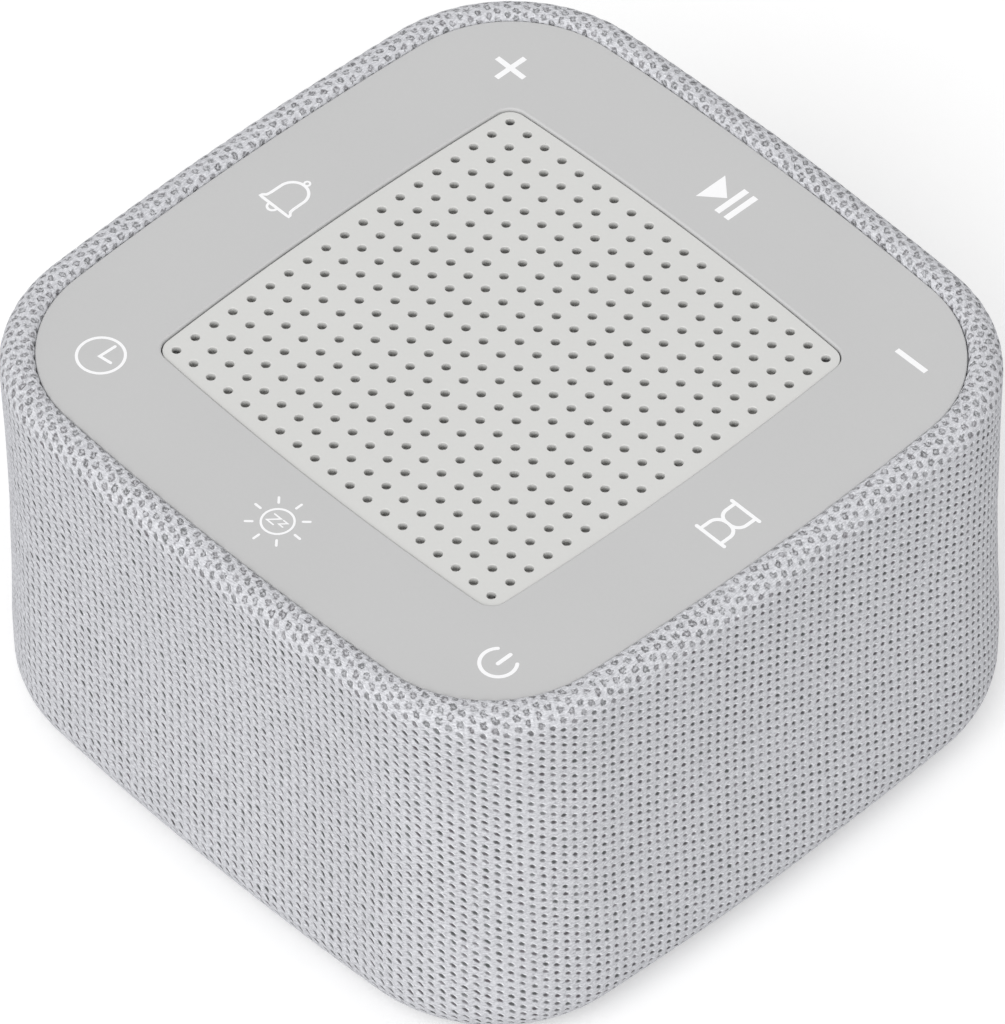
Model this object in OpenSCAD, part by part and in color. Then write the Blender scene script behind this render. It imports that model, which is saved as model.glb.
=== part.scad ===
// White noise sound machine: a square case in a knitted sleeve, with a silicone key mat round
// a perforated grille, a loudspeaker that fires upward, and a clock display behind the front fabric.
// Origin at the centre of the footprint on the table. +Z up, -Y the front, +X the user's right. Millimetres.

/* [Case] */
// Width and depth across the middle of the sides, over the fabric
case_w = 104; // [100:0.5:116]
// Height from the table to the top of the fabric roll
case_h = 62.4; // [60:0.2:80]
// Radius of the upright corners, seen from above
corner_r = 22.5; // [21.5:0.1:26]
// Half the angle of the shallow arc that each side follows, seen from above
bow_a = 3.5; // [2.5:0.1:4.5]

/* [Fabric] */
// Thickness of the knitted sleeve
fabric_t = 1.0; // [0.7:0.05:1.2]
// Radius of the roll at the top edge
roll_r = 2.8; // [2.4:0.1:3.2]
// Radius of the turn at the bottom edge
under_r = 7.2; // [6:0.1:9]
// How far the fabric reaches under the case
under_w = 9.4; // [8.4:0.1:10]
// Gap between the fabric and what it lies on
fabric_gap = 0.1; // [0.05:0.01:0.15]

/* [Shell and base] */
// Wall of the moulded shell
shell_t = 2.2; // [1.8:0.1:2.6]
// Thickness of the base plate
base_t = 2.7; // [2.4:0.1:3.4]
// Height of the base plate's underside above the lowest fabric
base_raise = 0.3; // [0.1:0.05:0.6]
// Radius of the posts that the base screws enter
base_post_r = 3.0; // [2.6:0.1:3.4]
// Length of the posts that the base screws enter
base_post_h = 9.8; // [8:0.2:12]
// Distance of the base posts from the case's side
base_post_in = 13; // [12.8:0.1:15]
// Distance of the base posts from the centre, to front and back
base_post_y = 14; // [12:0.5:17]

/* [Feet] */
// Radius of a rubber foot
foot_r = 5.0; // [4:0.1:5.4]
// Clearance under the fabric
foot_drop = 1.2; // [0.8:0.1:2]
// Depth of the pocket that holds a foot
foot_pocket = 0.8; // [0.5:0.1:1.2]
// Distance of a foot from the case's side, along X and along Y
foot_in = 18.5; // [18:0.5:22]

/* [Deck and key mat] */
// Height of the fabric roll above the key mat
roll_over_mat = 0.7; // [0.4:0.1:1]
// Thickness of the silicone key mat
mat_t = 1.6; // [1.4:0.1:2]
// Thickness of the deck under the mat
deck_t = 2.2; // [2:0.1:2.6]
// Seam between the mat and the fabric
seam_gap = 0.1; // [0.05:0.01:0.2]
// How far the deck stays inside the mat's edge
deck_inset = 0.2; // [0.1:0.05:0.4]
// Wall and floor of the tray that holds the loudspeaker
tray_t = 2.0; // [1.6:0.1:2.4]
// Depth of the air space between the grille and the tray floor
plenum_h = 5.4; // [4:0.2:7]
// Distance of the deck screws from the case's side
deck_screw_in = 8.4; // [8:0.1:9]
// Distance of the deck screws from the centre, to front and back
deck_screw_y = 24; // [20:0.5:26]
// Radius of the posts that the deck screws enter
deck_post_r = 2.8; // [2.4:0.1:3]
// Length of the posts that the deck screws enter
deck_post_h = 16; // [12:0.5:20]

/* [Grille] */
// Distance from the case's side to the opening in the mat, at the middle of a side
grille_in = 20.2; // [19:0.1:21]
// Corner radius of that opening
grille_open_r = 2.6; // [2:0.1:4]
// Gap round the grille
grille_gap = 0.15; // [0.08:0.01:0.3]
// Thickness of the grille
grille_t = 1.2; // [1:0.1:1.5]
// Distance from hole to hole
hole_pitch = 3.2; // [2.8:0.05:3.3]
// Radius of a hole
hole_r = 0.6; // [0.5:0.01:0.9]
// Least distance from the last row of holes to the grille's edge
hole_edge = 2.4; // [1.5:0.1:2.8]
// Width of the deck's ledge under the grille's edge
grille_ledge = 1.45; // [1.2:0.05:1.8]
// Thickness of the dust cloth under the grille
cloth_t = 0.3; // [0.2:0.05:0.5]

/* [Keys] */
// Radius of a key
key_r = 4.3; // [4.1:0.05:4.4]
// Clearance round a key in the mat
key_gap = 0.3; // [0.2:0.05:0.35]
// Clearance round a key in the deck
key_deck_gap = 0.35; // [0.35:0.05:0.4]
// Radius of the plunger under a key
plunger_r = 1.9; // [1.5:0.1:2.2]
// Side of a tact switch's square body
switch_w = 6.0; // [5:0.1:6.2]
// Height of a tact switch's body
switch_h = 3.5; // [3:0.1:3.8]
// Height of a switch's stem above its body
stem_h = 1.2; // [1:0.1:1.5]
// Radius of a switch's stem
stem_r = 1.7; // [1.3:0.1:2]
// Running clearance of a stem in its switch
stem_gap = 0.08; // [0.04:0.01:0.1]
// Gap between a switch body and the deck
switch_gap = 0.2; // [0.1:0.05:0.5]
// Thickness of the key board
key_board_t = 1.2; // [1:0.1:1.6]
// How far the key board stays inside the fabric's outside
key_board_inset = 5.6; // [5.4:0.1:5.8]
// Clearance of the key board round the tray
key_board_gap = 0.8; // [0.5:0.1:1]
// Distance of the key board screws from the centre, to the sides
key_screw_x = 20; // [16:0.5:24]
// Distance of the key board screws from the front and back of the case
key_screw_in = 12.5; // [11:0.5:13.5]

/* [Loudspeaker] */
// Radius of the basket's flange
flange_r = 27; // [26.5:0.1:28]
// Thickness of the basket's flange
flange_t = 1.5; // [1.2:0.1:2]
// Radius of the opening that the cone plays through
aperture_r = 22.8; // [22.5:0.1:23.2]
// Radius of the ring that carries the surround
land_r = 20.4; // [20:0.1:20.8]
// Depth of that ring below the flange's face
land_drop = 0.8; // [0.6:0.1:1]
// Height of the basket's open frame
frame_h = 12; // [11:0.5:14]
// Wall of the basket's frame
frame_t = 1.5; // [1.2:0.1:2]
// Radius of the frame inside, at the spider
seat_r = 15.6; // [14.5:0.1:16]
// Radius of the magnet
magnet_r = 17; // [15:0.5:20]
// Height of the magnet
magnet_h = 7; // [5:0.5:10]
// Thickness of the steel plates on the magnet
pole_plate_t = 2.5; // [2:0.1:3.5]
// Radius of the pole piece
pole_r = 6.0; // [5.5:0.1:7]
// Air gap on each side of the voice coil
coil_gap = 0.25; // [0.2:0.01:0.35]
// Wall of the voice coil's former
former_t = 0.15; // [0.1:0.01:0.3]
// Thickness of the winding
winding_t = 0.35; // [0.2:0.01:0.5]
// Length of the winding
winding_h = 5; // [3:0.5:6]
// Thickness of the cone's paper
cone_t = 0.45; // [0.3:0.05:0.6]
// Radius of the cone at its outer edge
cone_r = 18.2; // [17.8:0.1:18.4]
// Thickness of the foam gasket between basket and tray
gasket_t = 0.5; // [0.3:0.1:1]
// Distance of the loudspeaker screws from its centre
driver_screw_r = 25.0; // [24.9:0.1:25.3]

/* [Boards and display] */
// Thickness of the main board and of the display board
board_t = 1.6; // [1.2:0.1:2]
// Half the width of the main board
board_x = 30; // [28:0.5:31]
// Where the main board's front edge is
board_front = 31; // [29.5:0.5:32]
// Gap between the main board's rear edge and the shell's wall
board_rear_gap = 2.3; // [1.5:0.1:3]
// Height of the standoffs under the main board
board_post_h = 5.8; // [4:0.2:7]
// Width of the display window
window_w = 62; // [56:0.5:63]
// Height of the display window
window_h = 36.8; // [32:0.2:38]
// Lowest edge of the display window above the table
window_z = 10; // [9.8:0.2:12]
// Clearance round the display lens
lens_gap = 0.15; // [0.1:0.01:0.3]
// Depth of the display's reflector block
reflector_t = 6.8; // [5:0.2:7]
// Height of a digit
digit_h = 20; // [16:0.5:22]
// Width of a digit
digit_w = 10.5; // [9:0.5:11]
// Distance from digit to digit
digit_pitch = 13.4; // [12.6:0.1:13.6]
// Width of a digit's segments
segment_w = 2.0; // [1.5:0.1:2.4]
// Width of the power socket's steel shell
socket_w = 8.94; // [8.6:0.02:9.2]
// Height of the power socket's steel shell
socket_h = 3.26; // [3:0.02:3.4]
// Width of the bezel round the power socket
bezel_w = 16; // [14.5:0.5:18]
// Height of the bezel round the power socket
bezel_h = 9.5; // [8.5:0.1:10.5]

/* [Hidden] */

$fn = 96;
BOW_FN = 540;
HOLE_FN = 24;
CUT = 1;

// Colours
KNIT = [0.76, 0.76, 0.78];
MAT = [0.77, 0.77, 0.77];
GRILLE = [0.80, 0.80, 0.79];
MOULDED = [0.70, 0.70, 0.70];
DARK = [0.12, 0.12, 0.13];
STEEL = [0.62, 0.63, 0.65];
BOARD = [0.10, 0.30, 0.18];
PAPER = [0.16, 0.15, 0.15];
COPPER = [0.72, 0.42, 0.22];
AMBER = [0.85, 0.60, 0.30];

// A bowed square has four corner arcs tangent to four long side arcs. The span is the distance from a
// side arc's centre to a corner arc's centre
BOW_SHARE = 1 - cos(bow_a) + sin(bow_a);
function bow_span(half, r) = (half - r) / BOW_SHARE;
function corner_centre(span) = span * sin(bow_a);
function bow_centre(span) = span * (cos(bow_a) - sin(bow_a));

// Plan of the case
half_w = case_w / 2;
grille_open = half_w - grille_in;
deck_screw_x = half_w - deck_screw_in;
base_post_x = half_w - base_post_in;
foot_xy = half_w - foot_in;
key_screw_y = half_w - key_screw_in;
case_span = bow_span(half_w, corner_r);
corner_c = corner_centre(case_span);
bow_x = bow_centre(case_span);
side_r = half_w + bow_x;

// Insets from the fabric's outside
shell_in = fabric_t + fabric_gap;
wall_in = shell_in + shell_t;
ring_w = wall_in + fabric_gap + fabric_t;
mat_in = ring_w + seam_gap;
deck_in = mat_in + deck_inset;
base_in = under_w + 0.15;

// The keys: name, the side or corner of the mat, and the distance from the middle of the mat's band there
band_mid = (grille_open + half_w - mat_in) / 2;
KEY_PLACES = [
    ["plus", [-1, 1], [4.15, -4.55]],
    ["play", [0, 1], [0.4, -0.65]],
    ["minus", [1, 1], [-2.85, -3.85]],
    ["timer", [1, 0], [1.05, 0.1]],
    ["power", [1, -1], [-1.85, 3.15]],
    ["snooze", [0, -1], [1.7, -0.05]],
    ["clock", [-1, -1], [5.25, 3.15]],
    ["alarm", [-1, 0], [1.25, -1.0]]
];
KEYS = [for (k = KEY_PLACES) [k[0], band_mid * k[1] + k[2]]];

// Heights
fabric_bot = foot_drop;
mat_top = case_h - roll_over_mat;
deck_top = mat_top - mat_t;
deck_bot = deck_top - deck_t;
tray_top = deck_top - plenum_h;
tray_bot = tray_top - tray_t;
flange_z = tray_bot - gasket_t;
lip_bot = deck_bot + fabric_gap;
shell_bot = fabric_bot + shell_in;
shell_floor = shell_bot + shell_t;
base_bot = fabric_bot + base_raise;
base_top = base_bot + base_t;
under_lip = shell_floor + fabric_gap;
mid_h = (fabric_bot + case_h) / 2;
key_board_top = deck_bot - switch_gap - switch_h;
key_board_bot = key_board_top - key_board_t;
stem_top = key_board_top + switch_h + stem_h;
board_bot = base_top + board_post_h;
board_top = board_bot + board_t;
board_rear = half_w - wall_in - board_rear_gap;
socket_z = board_top + socket_h / 2;
magnet_top = flange_z - frame_h - frame_t - pole_plate_t;
magnet_bot = magnet_top - magnet_h;

// The roll's small inner radius leaves a sliver of flat between the two turns
ROLL_FLAT = 0.1;
roll_inner_r = ring_w - roll_r - ROLL_FLAT;

// Screws: the clearance of shanks and heads, how far a head sits below its plate, the radii of shanks and
// heads, the length of the small screws in their posts, and the depth of the holes there
SCREW_FIT = 0.05;
HEAD_FIT = 0.3;
HEAD_SINK = 0.1;
M2_R = 1.0;
M25_R = 1.25;
M2_HEAD_R = 1.8;
M25_HEAD_R = 2.4;
HEAD_H = 1.4;
M2_BITE = 4;
M2_THREAD_H = 5;

// Half width of the case at an inset, at a distance along the side
function side_at(inset, along) = sqrt(pow(side_r - inset, 2) - along * along) - bow_x;

// Half depth of the case at an inset, out where the corner turns
function corner_at(inset, along) = sqrt(pow(corner_r - inset, 2) - pow(along - corner_c, 2)) + corner_c;

// ---------- helpers ----------

// Moves by a long and a very short step, so that no digit of the distance gets lost
module shift(v) {
    near = [for (x = v) round(100 * x) / 100];
    translate(near) translate(v - near) children();
}

// A square with arcs for its corners and for its slightly bowed sides
module bowed_square(half, r) {
    span = bow_span(half, r);
    c = corner_centre(span);
    b = bow_centre(span);
    along = c + half_w * cos(bow_a);
    across = c + half_w * sin(bow_a);
    square(2 * c + CUT, center = true);
    for (turn = [0:90:270]) rotate(turn) {
        intersection() {
            shift([c, c]) circle(r);
            polygon([[c, c], [along, across], [along, along], [across, along]]);
        }
        intersection() {
            shift([-b, 0]) circle(half + b, $fn = BOW_FN);
            polygon([[c, c], [along, across], [along, -across], [c, -c]]);
        }
    }
}

// The case's plan at an inset from the fabric's outside
module outline(inset) {
    bowed_square(half_w - inset, corner_r - inset);
}

// Sweeps a section round the case. In the section x = 0 is the fabric's outside, and y is the height
module rim_sweep() {
    for (turn = [0:90:270]) rotate([0, 0, turn]) {
        shift([corner_c, corner_c, 0])
            rotate_extrude(start = bow_a, angle = 90 - 2 * bow_a) shift([corner_r, 0]) children();
        shift([-bow_x, 0, 0])
            rotate_extrude(start = -bow_a, angle = 2 * bow_a, $fn = BOW_FN) shift([side_r, 0]) children();
    }
}

module quarter(r, turn) {
    rotate(turn) intersection() {
        circle(r);
        square(r);
    }
}

// Section of the whole wall at an inset from the fabric: the roll on top, the turn under the case
module wall_section(inset) {
    out_r = roll_r - inset;
    in_r = roll_inner_r - inset;
    low_r = under_r - inset;
    left = -ring_w + inset;
    low_left = -under_w + inset;
    top = case_h - inset;
    bot = fabric_bot + inset;
    translate([-inset - out_r, top - out_r]) quarter(out_r, 0);
    translate([left + in_r, top - in_r]) quarter(in_r, 90);
    translate([-inset - low_r, bot + low_r]) quarter(low_r, 270);
    polygon([
        [low_left, bot],
        [-inset - low_r, bot],
        [-inset - low_r, bot + low_r],
        [-inset, bot + low_r],
        [-inset, top - out_r],
        [-inset - out_r, top - out_r],
        [-inset - out_r, top],
        [left + in_r, top],
        [left + in_r, top - in_r],
        [left, top - in_r],
        [left, mid_h],
        [low_left, mid_h]
    ]);
}

module stadium(w, h) {
    r = h / 2;
    for (side = [-1, 1]) translate([side * (w / 2 - r), 0]) circle(r);
    square([w - h, h], center = true);
}

// A stadium prism whose outside faces the rear
module rear_stadium(w, h, from_y, to_y) {
    translate([0, to_y, socket_z]) rotate([90, 0, 0]) linear_extrude(to_y - from_y) stadium(w, h);
}

// A cross-head screw with its head's underside at z = 0 and its shank down -Z
module screw(r, head_r, length) {
    slot_w = 0.28 * head_r;
    difference() {
        union() {
            translate([0, 0, -length]) cylinder(r = r, h = length);
            cylinder(r = head_r, h = HEAD_H);
        }
        for (a = [0, 90]) rotate([0, 0, a])
            translate([-0.6 * head_r, -slot_w / 2, HEAD_H / 2]) cube([1.2 * head_r, slot_w, HEAD_H]);
    }
}

module at_four(x, y) {
    for (sx = [-1, 1], sy = [-1, 1]) translate([sx * x, sy * y, 0]) children();
}

module at_keys() {
    for (k = KEYS) translate([k[1][0], k[1][1], 0]) children();
}

// ---------- casing ----------

module fabric_section() {
    difference() {
        wall_section(0);
        wall_section(fabric_t);
        translate([-under_w - CUT, under_lip])
            square([under_w + CUT - ring_w + fabric_t, lip_bot - under_lip]);
    }
}

module fabric_sleeve() {
    color(KNIT) difference() {
        rim_sweep() fabric_section();
        rear_stadium(bezel_w + 2 * fabric_gap, bezel_h + 2 * fabric_gap, half_w - wall_in, half_w + CUT);
    }
}

module shell_section() {
    low_r = under_r - wall_in;
    difference() {
        wall_section(shell_in);
        translate([-wall_in - low_r, shell_floor + low_r]) quarter(low_r, 270);
        polygon([
            [-under_w - CUT, shell_floor],
            [-wall_in - low_r, shell_floor],
            [-wall_in - low_r, shell_floor + low_r],
            [-wall_in, shell_floor + low_r],
            [-wall_in, mid_h + CUT],
            [-under_w - CUT, mid_h + CUT]
        ]);
    }
}

// Post on the inside of a side wall, with the rib that ties it to the wall
module wall_post(x, y, r, from_z, to_z, rib_z) {
    rib_w = 0.7 * r;
    rib_x = side_at(wall_in, y) + shell_t / 2;
    translate([x, y, from_z]) cylinder(r = r, h = to_z - from_z);
    translate([min(x, sign(x) * rib_x), y - rib_w / 2, rib_z])
        cube([rib_x - abs(x), rib_w, to_z - rib_z]);
}

module body_shell() {
    thread = M25_R + SCREW_FIT;
    color(MOULDED) difference() {
        union() {
            rim_sweep() shell_section();
            for (sx = [-1, 1], sy = [-1, 1]) {
                wall_post(sx * deck_screw_x, sy * deck_screw_y, deck_post_r,
                    deck_bot - deck_post_h, deck_bot, deck_bot - deck_post_h);
                wall_post(sx * base_post_x, sy * base_post_y, base_post_r,
                    base_top, base_top + base_post_h, under_lip + fabric_gap);
            }
            at_display_screws() cylinder(r = display_boss_r, h = display_boss_h);
        }
        translate([0, 0, deck_bot - deck_post_h + CUT]) at_four(deck_screw_x, deck_screw_y)
            cylinder(r = thread, h = deck_post_h);
        translate([0, 0, base_top - CUT]) at_four(base_post_x, base_post_y)
            cylinder(r = thread, h = base_post_h);
        window_prism(0);
        rear_stadium(bezel_w + 2 * fabric_gap, bezel_h + 2 * fabric_gap, half_w - wall_in - CUT, half_w);
        at_display_screws() translate([0, 0, -CUT])
            cylinder(r = M2_R + SCREW_FIT, h = display_thread_h + CUT);
    }
}

module base_plate() {
    post_r = 2.6;
    color(MOULDED) difference() {
        union() {
            translate([0, 0, base_bot]) linear_extrude(base_t) outline(base_in);
            at_main_screws() translate([0, 0, base_top - CUT / 2])
                cylinder(r = post_r, h = board_post_h + CUT / 2);
        }
        translate([0, 0, base_bot - CUT]) at_four(foot_xy, foot_xy)
            cylinder(r = foot_r + SCREW_FIT, h = foot_pocket + CUT);
        translate([0, 0, base_bot - CUT]) at_four(base_post_x, base_post_y) {
            cylinder(r = M25_R + HEAD_FIT / 2, h = base_t + 2 * CUT);
            cylinder(r = M25_HEAD_R + HEAD_FIT, h = HEAD_H + HEAD_SINK + CUT);
        }
        at_main_screws() translate([0, 0, board_bot - M2_THREAD_H])
            cylinder(r = M2_R + SCREW_FIT, h = M2_THREAD_H + CUT);
    }
}

module foot_pads() {
    dome = 0.5;
    color(DARK) at_four(foot_xy, foot_xy) {
        cylinder(r1 = foot_r - dome, r2 = foot_r, h = dome);
        translate([0, 0, dome]) cylinder(r = foot_r, h = base_bot + foot_pocket - dome);
    }
}

module base_screws() {
    under_head = HEAD_H + HEAD_SINK;
    bite = 6;
    color(STEEL) translate([0, 0, base_bot + under_head]) at_four(base_post_x, base_post_y)
        rotate([180, 0, 0]) screw(M25_R, M25_HEAD_R, base_t - under_head + bite);
}

// ---------- deck, mat and grille ----------

tray_half = grille_open - grille_gap - grille_ledge;
TRAY_R = 2;

module top_deck() {
    head_z = deck_top - HEAD_H - HEAD_SINK;
    post_r = 2.4;
    color(MOULDED) difference() {
        union() {
            translate([0, 0, deck_bot]) linear_extrude(deck_t) outline(deck_in);
            translate([0, 0, tray_bot]) linear_extrude(deck_top - tray_bot)
                bowed_square(tray_half + tray_t, TRAY_R + tray_t);
            translate([0, 0, key_board_top]) at_four(key_screw_x, key_screw_y)
                cylinder(r = post_r, h = deck_top - key_board_top);
        }
        translate([0, 0, tray_top]) linear_extrude(plenum_h + CUT) bowed_square(tray_half, TRAY_R);
        translate([0, 0, tray_bot - CUT]) cylinder(r = aperture_r, h = tray_t + 2 * CUT);
        translate([0, 0, deck_bot - CUT]) at_keys()
            cylinder(r = key_r + key_deck_gap, h = deck_t + 2 * CUT);
        translate([0, 0, deck_bot - CUT]) at_four(deck_screw_x, deck_screw_y)
            cylinder(r = M25_R + HEAD_FIT / 2, h = deck_t + 2 * CUT);
        translate([0, 0, head_z]) at_four(deck_screw_x, deck_screw_y)
            cylinder(r = M25_HEAD_R + SCREW_FIT, h = HEAD_H + CUT);
        translate([0, 0, key_board_top - CUT]) at_four(key_screw_x, key_screw_y)
            cylinder(r = M2_R + SCREW_FIT, h = M2_THREAD_H + CUT);
        at_driver_screws() translate([0, 0, tray_bot - CUT])
            cylinder(r = M2_R + SCREW_FIT, h = tray_t + 2 * CUT);
    }
}

module deck_screws() {
    length = 9;
    color(STEEL) translate([0, 0, deck_top - HEAD_H - HEAD_SINK]) at_four(deck_screw_x, deck_screw_y)
        screw(M25_R, M25_HEAD_R, length);
}

module key_mat() {
    color(MAT) translate([0, 0, deck_top]) linear_extrude(mat_t) difference() {
        outline(mat_in);
        bowed_square(grille_open, grille_open_r);
        for (k = KEYS) translate(k[1]) circle(key_r + key_gap);
    }
}

// A key with its plunger, which is one piece with the disc above it
module key(name) {
    overlap = 0.2;
    place = [for (k = KEYS) if (k[0] == name) k[1]][0];
    color(MAT) translate([place[0], place[1], 0]) {
        translate([0, 0, deck_top]) cylinder(r = key_r, h = mat_t);
        translate([0, 0, stem_top]) cylinder(r = plunger_r, h = deck_top - stem_top + overlap);
    }
}

module stem(name) {
    place = [for (k = KEYS) if (k[0] == name) k[1]][0];
    color(DARK) translate([place[0], place[1], key_board_top + switch_h - stem_well])
        cylinder(r = stem_r, h = stem_h + stem_well);
}

module grille() {
    half = grille_open - grille_gap;
    last = floor((half - hole_edge) / hole_pitch);
    color(GRILLE) translate([0, 0, deck_top]) linear_extrude(grille_t) difference() {
        bowed_square(half, grille_open_r - grille_gap);
        for (i = [-last:last], j = [-last:last])
            translate([i * hole_pitch, j * hole_pitch]) circle(hole_r, $fn = HOLE_FN);
    }
}

module grille_cloth() {
    fit = 0.2;
    color(DARK) translate([0, 0, deck_top - cloth_t]) linear_extrude(cloth_t)
        bowed_square(tray_half - fit, TRAY_R);
}

// ---------- key board ----------

stem_well = 1.0;
stem_room = 0.5;

module switch_bodies() {
    color(DARK) translate([0, 0, key_board_top]) at_keys() difference() {
        translate([-switch_w / 2, -switch_w / 2, 0]) cube([switch_w, switch_w, switch_h]);
        translate([0, 0, switch_h - stem_well - stem_room])
            cylinder(r = stem_r + stem_gap, h = stem_h + stem_well + CUT);
    }
}

module key_board() {
    room = deck_post_r + 0.6;
    notch = 8;
    color(BOARD) translate([0, 0, key_board_bot]) linear_extrude(key_board_t) difference() {
        outline(key_board_inset);
        bowed_square(tray_half + tray_t + key_board_gap, TRAY_R + tray_t);
        for (sx = [-1, 1], sy = [-1, 1]) {
            translate([sx * deck_screw_x, sy * deck_screw_y]) circle(room);
            translate([sx * (deck_screw_x + notch / 2), sy * deck_screw_y])
                square([notch, 2 * room], center = true);
            translate([sx * key_screw_x, sy * key_screw_y]) circle(M2_R + HEAD_FIT / 2);
        }
    }
}

module key_board_screws() {
    color(STEEL) translate([0, 0, key_board_bot]) at_four(key_screw_x, key_screw_y)
        rotate([180, 0, 0]) screw(M2_R, M2_HEAD_R, key_board_t + M2_BITE);
}

// ---------- loudspeaker ----------

module at_driver_screws() {
    for (a = [45:90:315]) rotate([0, 0, a]) translate([driver_screw_r, 0, 0]) children();
}

// The plates on the magnet are smaller than it by this step
PLATE_STEP = 1;
frame_top_r = land_r + 1.2;
gap_r = pole_r + coil_gap + former_t + winding_t + coil_gap;

// Heights of the moving parts below the flange's face
former_r = pole_r + coil_gap;
neck_z = -frame_h + 2.6;
edge_z = -land_drop - 1.8;
former_top = neck_z + 0.6;
winding_mid = -frame_h - frame_t - pole_plate_t / 2;

// The cone's flat edge, under the surround
cone_flat = 1.2;
cone_slope_in = former_r + former_t;

function cone_top_at(r) =
    neck_z + (edge_z - neck_z) * (r - cone_slope_in) / (cone_r - cone_flat - cone_slope_in);

module driver_gasket() {
    color(DARK) translate([0, 0, flange_z]) difference() {
        cylinder(r = flange_r, h = gasket_t);
        translate([0, 0, -CUT]) cylinder(r = aperture_r, h = gasket_t + 2 * CUT);
        at_driver_screws() translate([0, 0, -CUT]) cylinder(r = M2_R + SCREW_FIT, h = gasket_t + 2 * CUT);
    }
}

// The basket has four open slots in its slope
module driver_basket() {
    hub_r = gap_r + 0.4;
    slot_low = 1.5;
    slot_h = frame_h - flange_t - 2 * slot_low;
    color(STEEL) translate([0, 0, flange_z]) difference() {
        rotate_extrude() polygon([
            [hub_r, -frame_h - frame_t],
            [hub_r, -frame_h],
            [seat_r, -frame_h],
            [frame_top_r, -flange_t],
            [land_r, -flange_t],
            [land_r, -land_drop],
            [aperture_r, -land_drop],
            [aperture_r, 0],
            [flange_r, 0],
            [flange_r, -flange_t],
            [frame_top_r + frame_t, -flange_t],
            [seat_r + frame_t, -frame_h],
            [seat_r + frame_t, -frame_h - frame_t]
        ]);
        for (a = [22.5:90:292.5]) rotate([0, 0, a]) translate([0, 0, -frame_h + slot_low])
            rotate_extrude(angle = 45) translate([seat_r - 3, 0]) square([flange_r, slot_h]);
        at_driver_screws() translate([0, 0, -flange_t - CUT])
            cylinder(r = M2_R + HEAD_FIT / 2, h = flange_t + 2 * CUT);
    }
}

module driver_screws() {
    color(STEEL) translate([0, 0, flange_z - flange_t]) at_driver_screws()
        rotate([180, 0, 0]) screw(M2_R, M2_HEAD_R, flange_t + gasket_t + tray_t);
}

module driver_terminals() {
    strip = [10, 1.4, 5];
    tab = [1.6, 0.8, 3];
    tab_x = 3;
    front = frame_top_r + frame_t + 0.25;
    translate([0, 0, flange_z - flange_t]) {
        color(AMBER) translate([-strip[0] / 2, front, -strip[2]]) cube(strip);
        color(STEEL) for (side = [-1, 1])
            translate([side * tab_x - tab[0] / 2, front + 0.3, -strip[2] - tab[2] + 0.5]) cube(tab);
    }
}

module driver_top_plate() {
    color(STEEL) translate([0, 0, magnet_top]) difference() {
        cylinder(r = magnet_r - PLATE_STEP, h = pole_plate_t);
        translate([0, 0, -CUT]) cylinder(r = gap_r, h = pole_plate_t + 2 * CUT);
    }
}

module driver_magnet() {
    color(DARK) translate([0, 0, magnet_bot]) difference() {
        cylinder(r = magnet_r, h = magnet_h);
        translate([0, 0, -CUT]) cylinder(r = gap_r + 1.6, h = magnet_h + 2 * CUT);
    }
}

module driver_yoke() {
    color(STEEL) translate([0, 0, magnet_bot - pole_plate_t]) {
        cylinder(r = magnet_r - PLATE_STEP, h = pole_plate_t);
        cylinder(r = pole_r, h = 2 * pole_plate_t + magnet_h);
    }
}

module voice_coil() {
    low = winding_mid - winding_h / 2;
    color(COPPER) translate([0, 0, flange_z]) rotate_extrude() {
        translate([former_r, low]) square([former_t, former_top - low]);
        translate([former_r, low]) square([former_t + winding_t, winding_h]);
    }
}

module driver_cone() {
    in_r = former_r + former_t + 0.02;
    color(PAPER) translate([0, 0, flange_z]) rotate_extrude() polygon([
        [in_r, neck_z],
        [cone_r - cone_flat, edge_z],
        [cone_r, edge_z],
        [cone_r, edge_z - cone_t],
        [cone_r - 1.0, edge_z - cone_t],
        [in_r + cone_t, neck_z - cone_t],
        [in_r + cone_t, neck_z - 1.2],
        [in_r, neck_z - 1.2]
    ]);
}

module dust_cap() {
    dome_r = 12;
    rim_r = former_r + 2;
    rim_z = cone_top_at(rim_r) + 0.05;
    centre_z = rim_z - sqrt(dome_r * dome_r - rim_r * rim_r);
    color(PAPER) translate([0, 0, flange_z]) rotate_extrude() intersection() {
        translate([0, centre_z]) difference() {
            circle(dome_r);
            circle(dome_r - cone_t);
        }
        translate([0, rim_z]) square(dome_r);
    }
}

surround_t = 0.4;
roll_mid_r = (cone_r + land_r) / 2;
surround_r = (land_r - cone_r) / 2 + surround_t / 2;

module cone_surround() {
    color(DARK) translate([0, 0, flange_z]) rotate_extrude() {
        translate([roll_mid_r, -land_drop]) intersection() {
            difference() {
                circle(surround_r);
                circle(surround_r - surround_t);
            }
            translate([-surround_r, 0]) square([2 * surround_r, surround_r]);
        }
        translate([roll_mid_r + surround_r - surround_t, -land_drop])
            square([aperture_r - 0.1 - roll_mid_r - surround_r + surround_t, surround_t]);
        translate([roll_mid_r - surround_r, edge_z]) square([surround_t, -land_drop - edge_z]);
        translate([cone_r - cone_flat, edge_z])
            square([roll_mid_r - surround_r + surround_t - cone_r + cone_flat, surround_t]);
    }
}

// The spider, a corrugated disc from the former to the basket's seat
spider_in = former_r + former_t + 0.03;
spider_out = seat_r - 0.1;
SPIDER_WAVES = 4;
SPIDER_STEPS = 32;
SPIDER_T = 0.3;

// Its height falls from the former to the seat, with waves that fade towards the seat
function spider_z(u) =
    -frame_h + (1 - u) * (1 - u) + 0.12 * (1 - u) * (1 - cos(360 * SPIDER_WAVES * u));

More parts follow.
